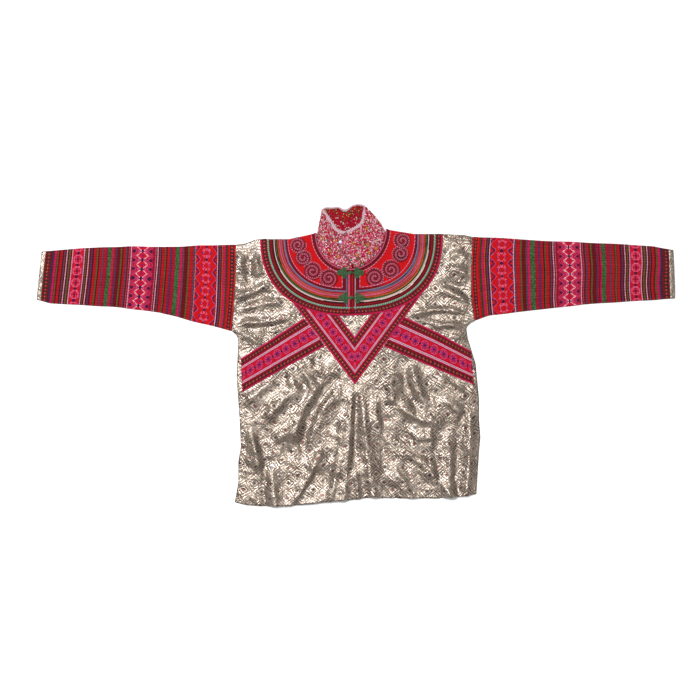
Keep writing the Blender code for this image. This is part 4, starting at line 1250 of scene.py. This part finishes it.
left_side = at_level(smooth_line(LEFT_V, 40), LEFT_BASE + 1.7)
top_side = at_level(smooth_line(TOP_EDGE, 60), 5.6)
right_side = at_level(smooth_line(RIGHT_V, 44), RIGHT_BASE + 1.9)
route = smooth_line(np.concatenate([left_side[::4], top_side[3:-3:5], right_side[1::4]]), 260)
step = np.arange(260)
gathers = 1 + 0.10 * np.sin(step * 0.9) + 0.06 * np.sin(step * 0.37)
spread = 4.3 - 2.4 * soft_step((route[:, 1] - 325) / 12)
edge = tube(route, spread * gathers, 1.5 * gathers, ("white_pink", "lilac", "lilac", "cream"), sides=10)
# The cord on the lapped edge is partly painted shadow: its lilac strand is the pale edge, and its crimson and
# dark red strands paint the shadow that the lapped end casts.
lap = smooth_line(np.concatenate([right_tops[-4:], right_feet[:-4:-1]]), 60)
lap_edge_and_shadow = tube(at_level(lap, RIGHT_BASE + 3.2), 1.5, 1.4, ("lilac", "crimson", "dark_red"), sides=7)
cords_of("collar_edge_binding_and_shadow", [edge, lap_edge_and_shadow], "edge_binding", "collar_binding")

ring = np.stack(on_oval(PIPING_SEAM, np.linspace(179, 361, 200)), -1)
# Painted shadow: a dark red cord laid a little outside and below the pink piping, where its shade falls.
shadow = ring + (ring - PIPING_SEAM[:2]) * 0.035
piping = [tube(sewn_line(ring, 0.9), 1.7, 1.5, ("pink", "crimson", "pink"), sides=7),
          tube(sewn_line(shadow, 0.5), 1.2, 1.0, ("dark_red",), sides=5)]
cords_of("neck_piping_and_shadow_cord", piping, "edge_binding", "neck_piping")


def ball(x, y, z, wide, tall, colour):
    """Points, faces and colours of a round ball of this half width and half height."""
    turn, rise = np.meshgrid(np.linspace(0, 2 * np.pi, 25)[:-1], np.linspace(0, np.pi, 11))
    points = np.stack([x + wide * np.sin(rise) * np.cos(turn), y + wide * np.sin(rise) * np.sin(turn),
                       z + tall * np.cos(rise)], -1)
    faces = quads(numbered(*turn.shape), closed=True)[:, ::-1].tolist()
    return points.reshape(-1, 3), faces, np.tile(colour, (len(faces), 1))


stud = made_of("pearl_stud", [ball(-35, 259, RIGHT_BASE + 6.0, 4.2, 2.0, thread(214, 198, 222))],
               bead_finish("pearl", 0.16, 0.1))
settle(stud, "pearl", "collar_stud")

# ------------------------------------------------------------
# Frogs: two pairs of three-lobed knots of green cord, each pair closed by a knotted ball.
# A knot is three rounds of cord, one in another, and two short cords run from it to the ball.
# ------------------------------------------------------------
FROGS = {
    # x of the left and the right knot, x of the ball, y
    "upper": (-30.0, 6.0, -12.5, 188.5), "lower": (-26.5, 8.0, -10.3, 131.0),
}
FROG_LEVEL = 2.0
FROG_ROUNDS = ((7.3, 4.6, 0.0), (5.0, 3.8, 1.0), (2.7, 1.8, 1.9))
BALL_TURNS, BALL_REACH, BALL_LEVEL = 6.5, 3.2, 3.4
GREENS = ("green", "moss", "sage", "moss", "green")
for frog, (left_x, right_x, ball_x, y0) in FROGS.items():
    base = float(front_lift(np.array([ball_x]), np.array([y0]))[0]) + YOKE_RISE + FROG_LEVEL
    for side, x0, facing, inner in (("left", left_x, np.pi, 4), ("right", right_x, 0.0, -4)):
        turn = np.linspace(0, 2 * np.pi, 121)[:-1]
        angle = turn + facing + 0.15 * np.sin(3 * turn)
        loops = []
        for mean, lobe, level in FROG_ROUNDS:
            radius = mean + lobe * np.cos(3 * turn)
            knot = np.stack([x0 + radius * np.cos(angle), y0 + 1.08 * radius * np.sin(angle),
                             base + level + 0.5 * np.sin(6 * turn)], -1)
            loops.append(tube(knot, 1.35, 1.3, GREENS, closed=True))
        for off in (-1.1, 1.1):
            bar = np.linspace((x0 + inner, y0 + off, base + 0.8), (ball_x, y0 + off, base + 1.6), 12)
            loops.append(tube(bar, 1.0, 1.0, GREENS))
        cords_of(f"frog_{frog}_{side}_cord", loops, "frog_cord", f"frog_knot_{frog}_{side}")
    share = np.linspace(0.04, 0.96, 240)
    spin, rise = share * 2 * np.pi * BALL_TURNS, share * np.pi
    outward = np.stack([np.sin(rise) * np.cos(spin), np.sin(rise) * np.sin(spin), np.cos(rise)], -1)
    wound = np.array([ball_x, y0, base + BALL_LEVEL]) + BALL_REACH * outward
    core = ball(ball_x, y0, base + BALL_LEVEL, 3.3, 3.3, THREADS["moss"])
    cords_of(f"frog_{frog}_ball", [tube(wound, 1.25, 1.2, GREENS, up=outward), core], "frog_cord",
             f"frog_button_{frog}")

LAID_SURFACES = ((left_lobe, left_points), (right_lobe, right_points), (collar_back, back_points),
                 (lining, lining_points))
for piece, surface in LAID_SURFACES:
    wide = float(np.linalg.norm(np.diff(surface, axis=1), axis=2).sum(1).mean()) * MM
    tall = float(np.linalg.norm(np.diff(surface, axis=0), axis=2).sum(0).mean()) * MM
